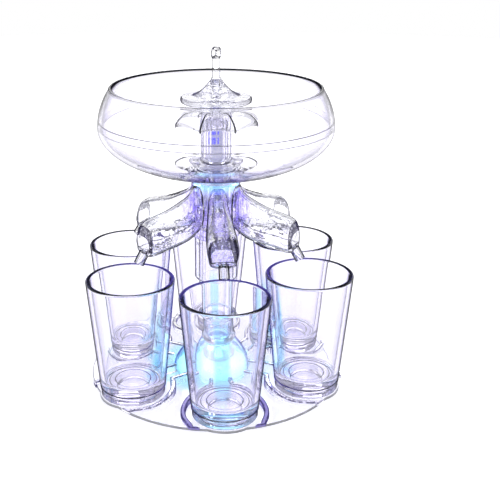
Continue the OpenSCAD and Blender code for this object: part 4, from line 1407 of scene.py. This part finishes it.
def tube_collar_outline():
    """The ring on top of the lift tube."""
    bottom, top = low("tube_collar") + 1.5, high("tube_collar") + 0.9
    r = reach("tube_collar") - INSET
    return [(ROD_BORE_R, bottom), (r - 0.8, bottom), *arc(r - 0.6, bottom + 0.9, 0.6, -60, 0, 4),
            *arc(r - 0.7, top - 0.7, 0.7, 0, 90, 5), (ROD_BORE_R, top)]


tube = turned("fluted_tube", lift_outline(), column_clear, fluted)
add_piece(tube, "plunger", "clear_acrylic", "lift_tube")
post = turned("lamp_post_tube", post_outline(), column_clear)
add_piece(post, "bowl", "clear_acrylic", "light_post")
collar = turned("collar_ring", tube_collar_outline(), cap_clear)
add_piece(collar, "plunger", "clear_acrylic", "tube_collar")

# %% [markdown]
# The post's foot is a small wheel that sits in the bowl's neck: a ring on three spokes, which holds the
# post in the middle and lets the drink past.

# %% Spider in the neck
SPIDER_R = NECK_BORE_R - 0.1
SPIDER_H = 3


def spider_mesh():
    """The ring and its three spokes, which widen at both ends."""
    z, top, inner = low("light_post"), low("light_post") + SPIDER_H, SPIDER_R - 1
    ring = turned("spider_ring", [
        (inner, z + 0.2), (inner + 0.2, z), (SPIDER_R - 0.2, z), (SPIDER_R, z + 0.2),
        (SPIDER_R, top - 0.2), (SPIDER_R - 0.2, top), (inner + 0.2, top), (inner, top - 0.2)], column_clear)
    points = [tuple(v.co / MM) for v in ring.vertices]
    faces = [tuple(p.vertices) for p in ring.polygons]
    stops = [(POST_TUBE_R + INSET, 1.1), (POST_TUBE_R + 0.5, 0.8), (inner - 0.3, 0.8), (inner - INSET, 1.1)]
    for k in range(3):
        turn = Matrix.Rotation(math.radians(120 * k), 4, "Z")
        rings = [[tuple(turn @ Vector((x, y, h))) for y, h in
                  ((-half, z), (half, z), (half, top), (-half, top))] for x, half in stops]
        loft(rings, points, faces)
    return make_mesh("neck_spider", points, faces, column_clear)


add_piece(spider_mesh(), "bowl", "clear_acrylic")

# %% [markdown]
# ## Umbrella and cap
# Under the cap a dome of eight gores spreads what splashes up. Eight thin ridges run down it between the
# gores, and the photograph shows them as its darkest lines, so they are raised in the mesh and not drawn
# in the material.

# %% Umbrella
GORES = 8
GORE_TURN = math.radians(65)
UMBRELLA_R = 25
UMBRELLA_TOP_R = LIFT_R + 0.6
UMBRELLA_TOP_Z = LIFT_TOP_Z + 0.9
UMBRELLA_H = 8.3
UMBRELLA_T = 1.1
GORE = 2 * math.pi / GORES       # angle of one gore
RIDGE_HALF_W = 0.4
RIDGE_H = 0.4


def umbrella_spot(u, a, drop):
    """Point of the dome at share u of its way out, angle a, drop below its upper side."""
    between = abs(math.sin((a - GORE_TURN) * GORES / 2))
    edge = UMBRELLA_R - 1.2 * between
    r = UMBRELLA_TOP_R + (edge - UMBRELLA_TOP_R) * u
    fall = 0.45 * u * u + 0.55 * (1 - math.sqrt(max(0, 1 - u ** 2.1)))
    z = UMBRELLA_TOP_Z - UMBRELLA_H * fall + 1.3 * u * u * between
    off = abs((a - GORE_TURN + GORE / 2) % GORE - GORE / 2) * r
    ridge = RIDGE_H * max(0, 1 - (off / RIDGE_HALF_W) ** 2) * min(1, u * 6) if drop == 0 else 0
    return r * math.cos(a), r * math.sin(a), z + ridge - drop


def umbrella_mesh():
    """Both sides of the dome, joined round its hole and its rim."""
    fine = [-1, -0.66, -0.33, 0, 0.33, 0.66, 1]
    offsets = [f * RIDGE_HALF_W / 17 for f in fine] + [0.03 + (GORE - 0.06) * i / 14 for i in range(1, 14)]
    angles = [GORE_TURN + GORE * g + off for g in range(GORES) for off in offsets]
    shares = [math.sin(math.pi / 2 * i / 22) for i in range(23)]
    points, faces, marked, n = [], [], [], len(angles)
    for u in shares:
        points += [umbrella_spot(u, a, 0) for a in angles]
    for u in reversed(shares):
        points += [umbrella_spot(u, a, UMBRELLA_T) for a in angles]
    rows = 2 * len(shares)
    for i in range(rows):
        a, b = i * n, (i + 1) % rows * n
        if i < len(shares):
            marked += [len(faces) + j for j in range(n) if j % len(offsets) < len(fine) - 1]
        faces += [(a + j, b + j, b + (j + 1) % n, a + (j + 1) % n) for j in range(n)]
    return make_mesh("gored_umbrella", points, faces, gore_clear, marked, rib_line)


add_piece(umbrella_mesh(), "plunger", "clear_acrylic", "umbrella")

# %% [markdown]
# The cap is turned, with a thick round rim. Its flare is a power of the way in from the rim, which starts
# nearly flat and climbs steeply at the rod, and needs no curve drawn by hand.

# %% Trumpet cap
CAP_R = reach("trumpet_cap") - INSET
CAP_LOW_Z = low("trumpet_cap") + 1.9
CAP_TOP_Z = high("trumpet_cap")
CAP_RIM_T = 3.6


def cap_outline():
    """The cap: flat below, a rolled rim, and a flare up to the rod."""
    collar_r, flare_r = LIFT_R + 1.7, CAP_R - 1.3
    top = CAP_LOW_Z + CAP_RIM_T
    shares = [i / 24 for i in range(1, 25)]
    return [
        (ROD_BORE_R, CAP_LOW_Z - 0.9), (collar_r - 1.5, CAP_LOW_Z - 0.9), (collar_r, CAP_LOW_Z + 0.6),
        (CAP_R - 4, CAP_LOW_Z + 0.1), *arc(CAP_R - 1.7, CAP_LOW_Z + 1.7, 1.7, -85, 0, 8),
        *arc(CAP_R - 1.6, top - 1.6, 1.6, 0, 70, 7),
        *[(flare_r - (flare_r - ROD_R - 0.9) * u, top - 0.1 + (CAP_TOP_Z - top + 0.1) * u ** 2.4)
          for u in shares],
        (ROD_BORE_R, CAP_TOP_Z),
    ]


add_piece(turned("flared_cap", cap_outline(), cap_clear), "plunger", "clear_acrylic", "trumpet_cap")
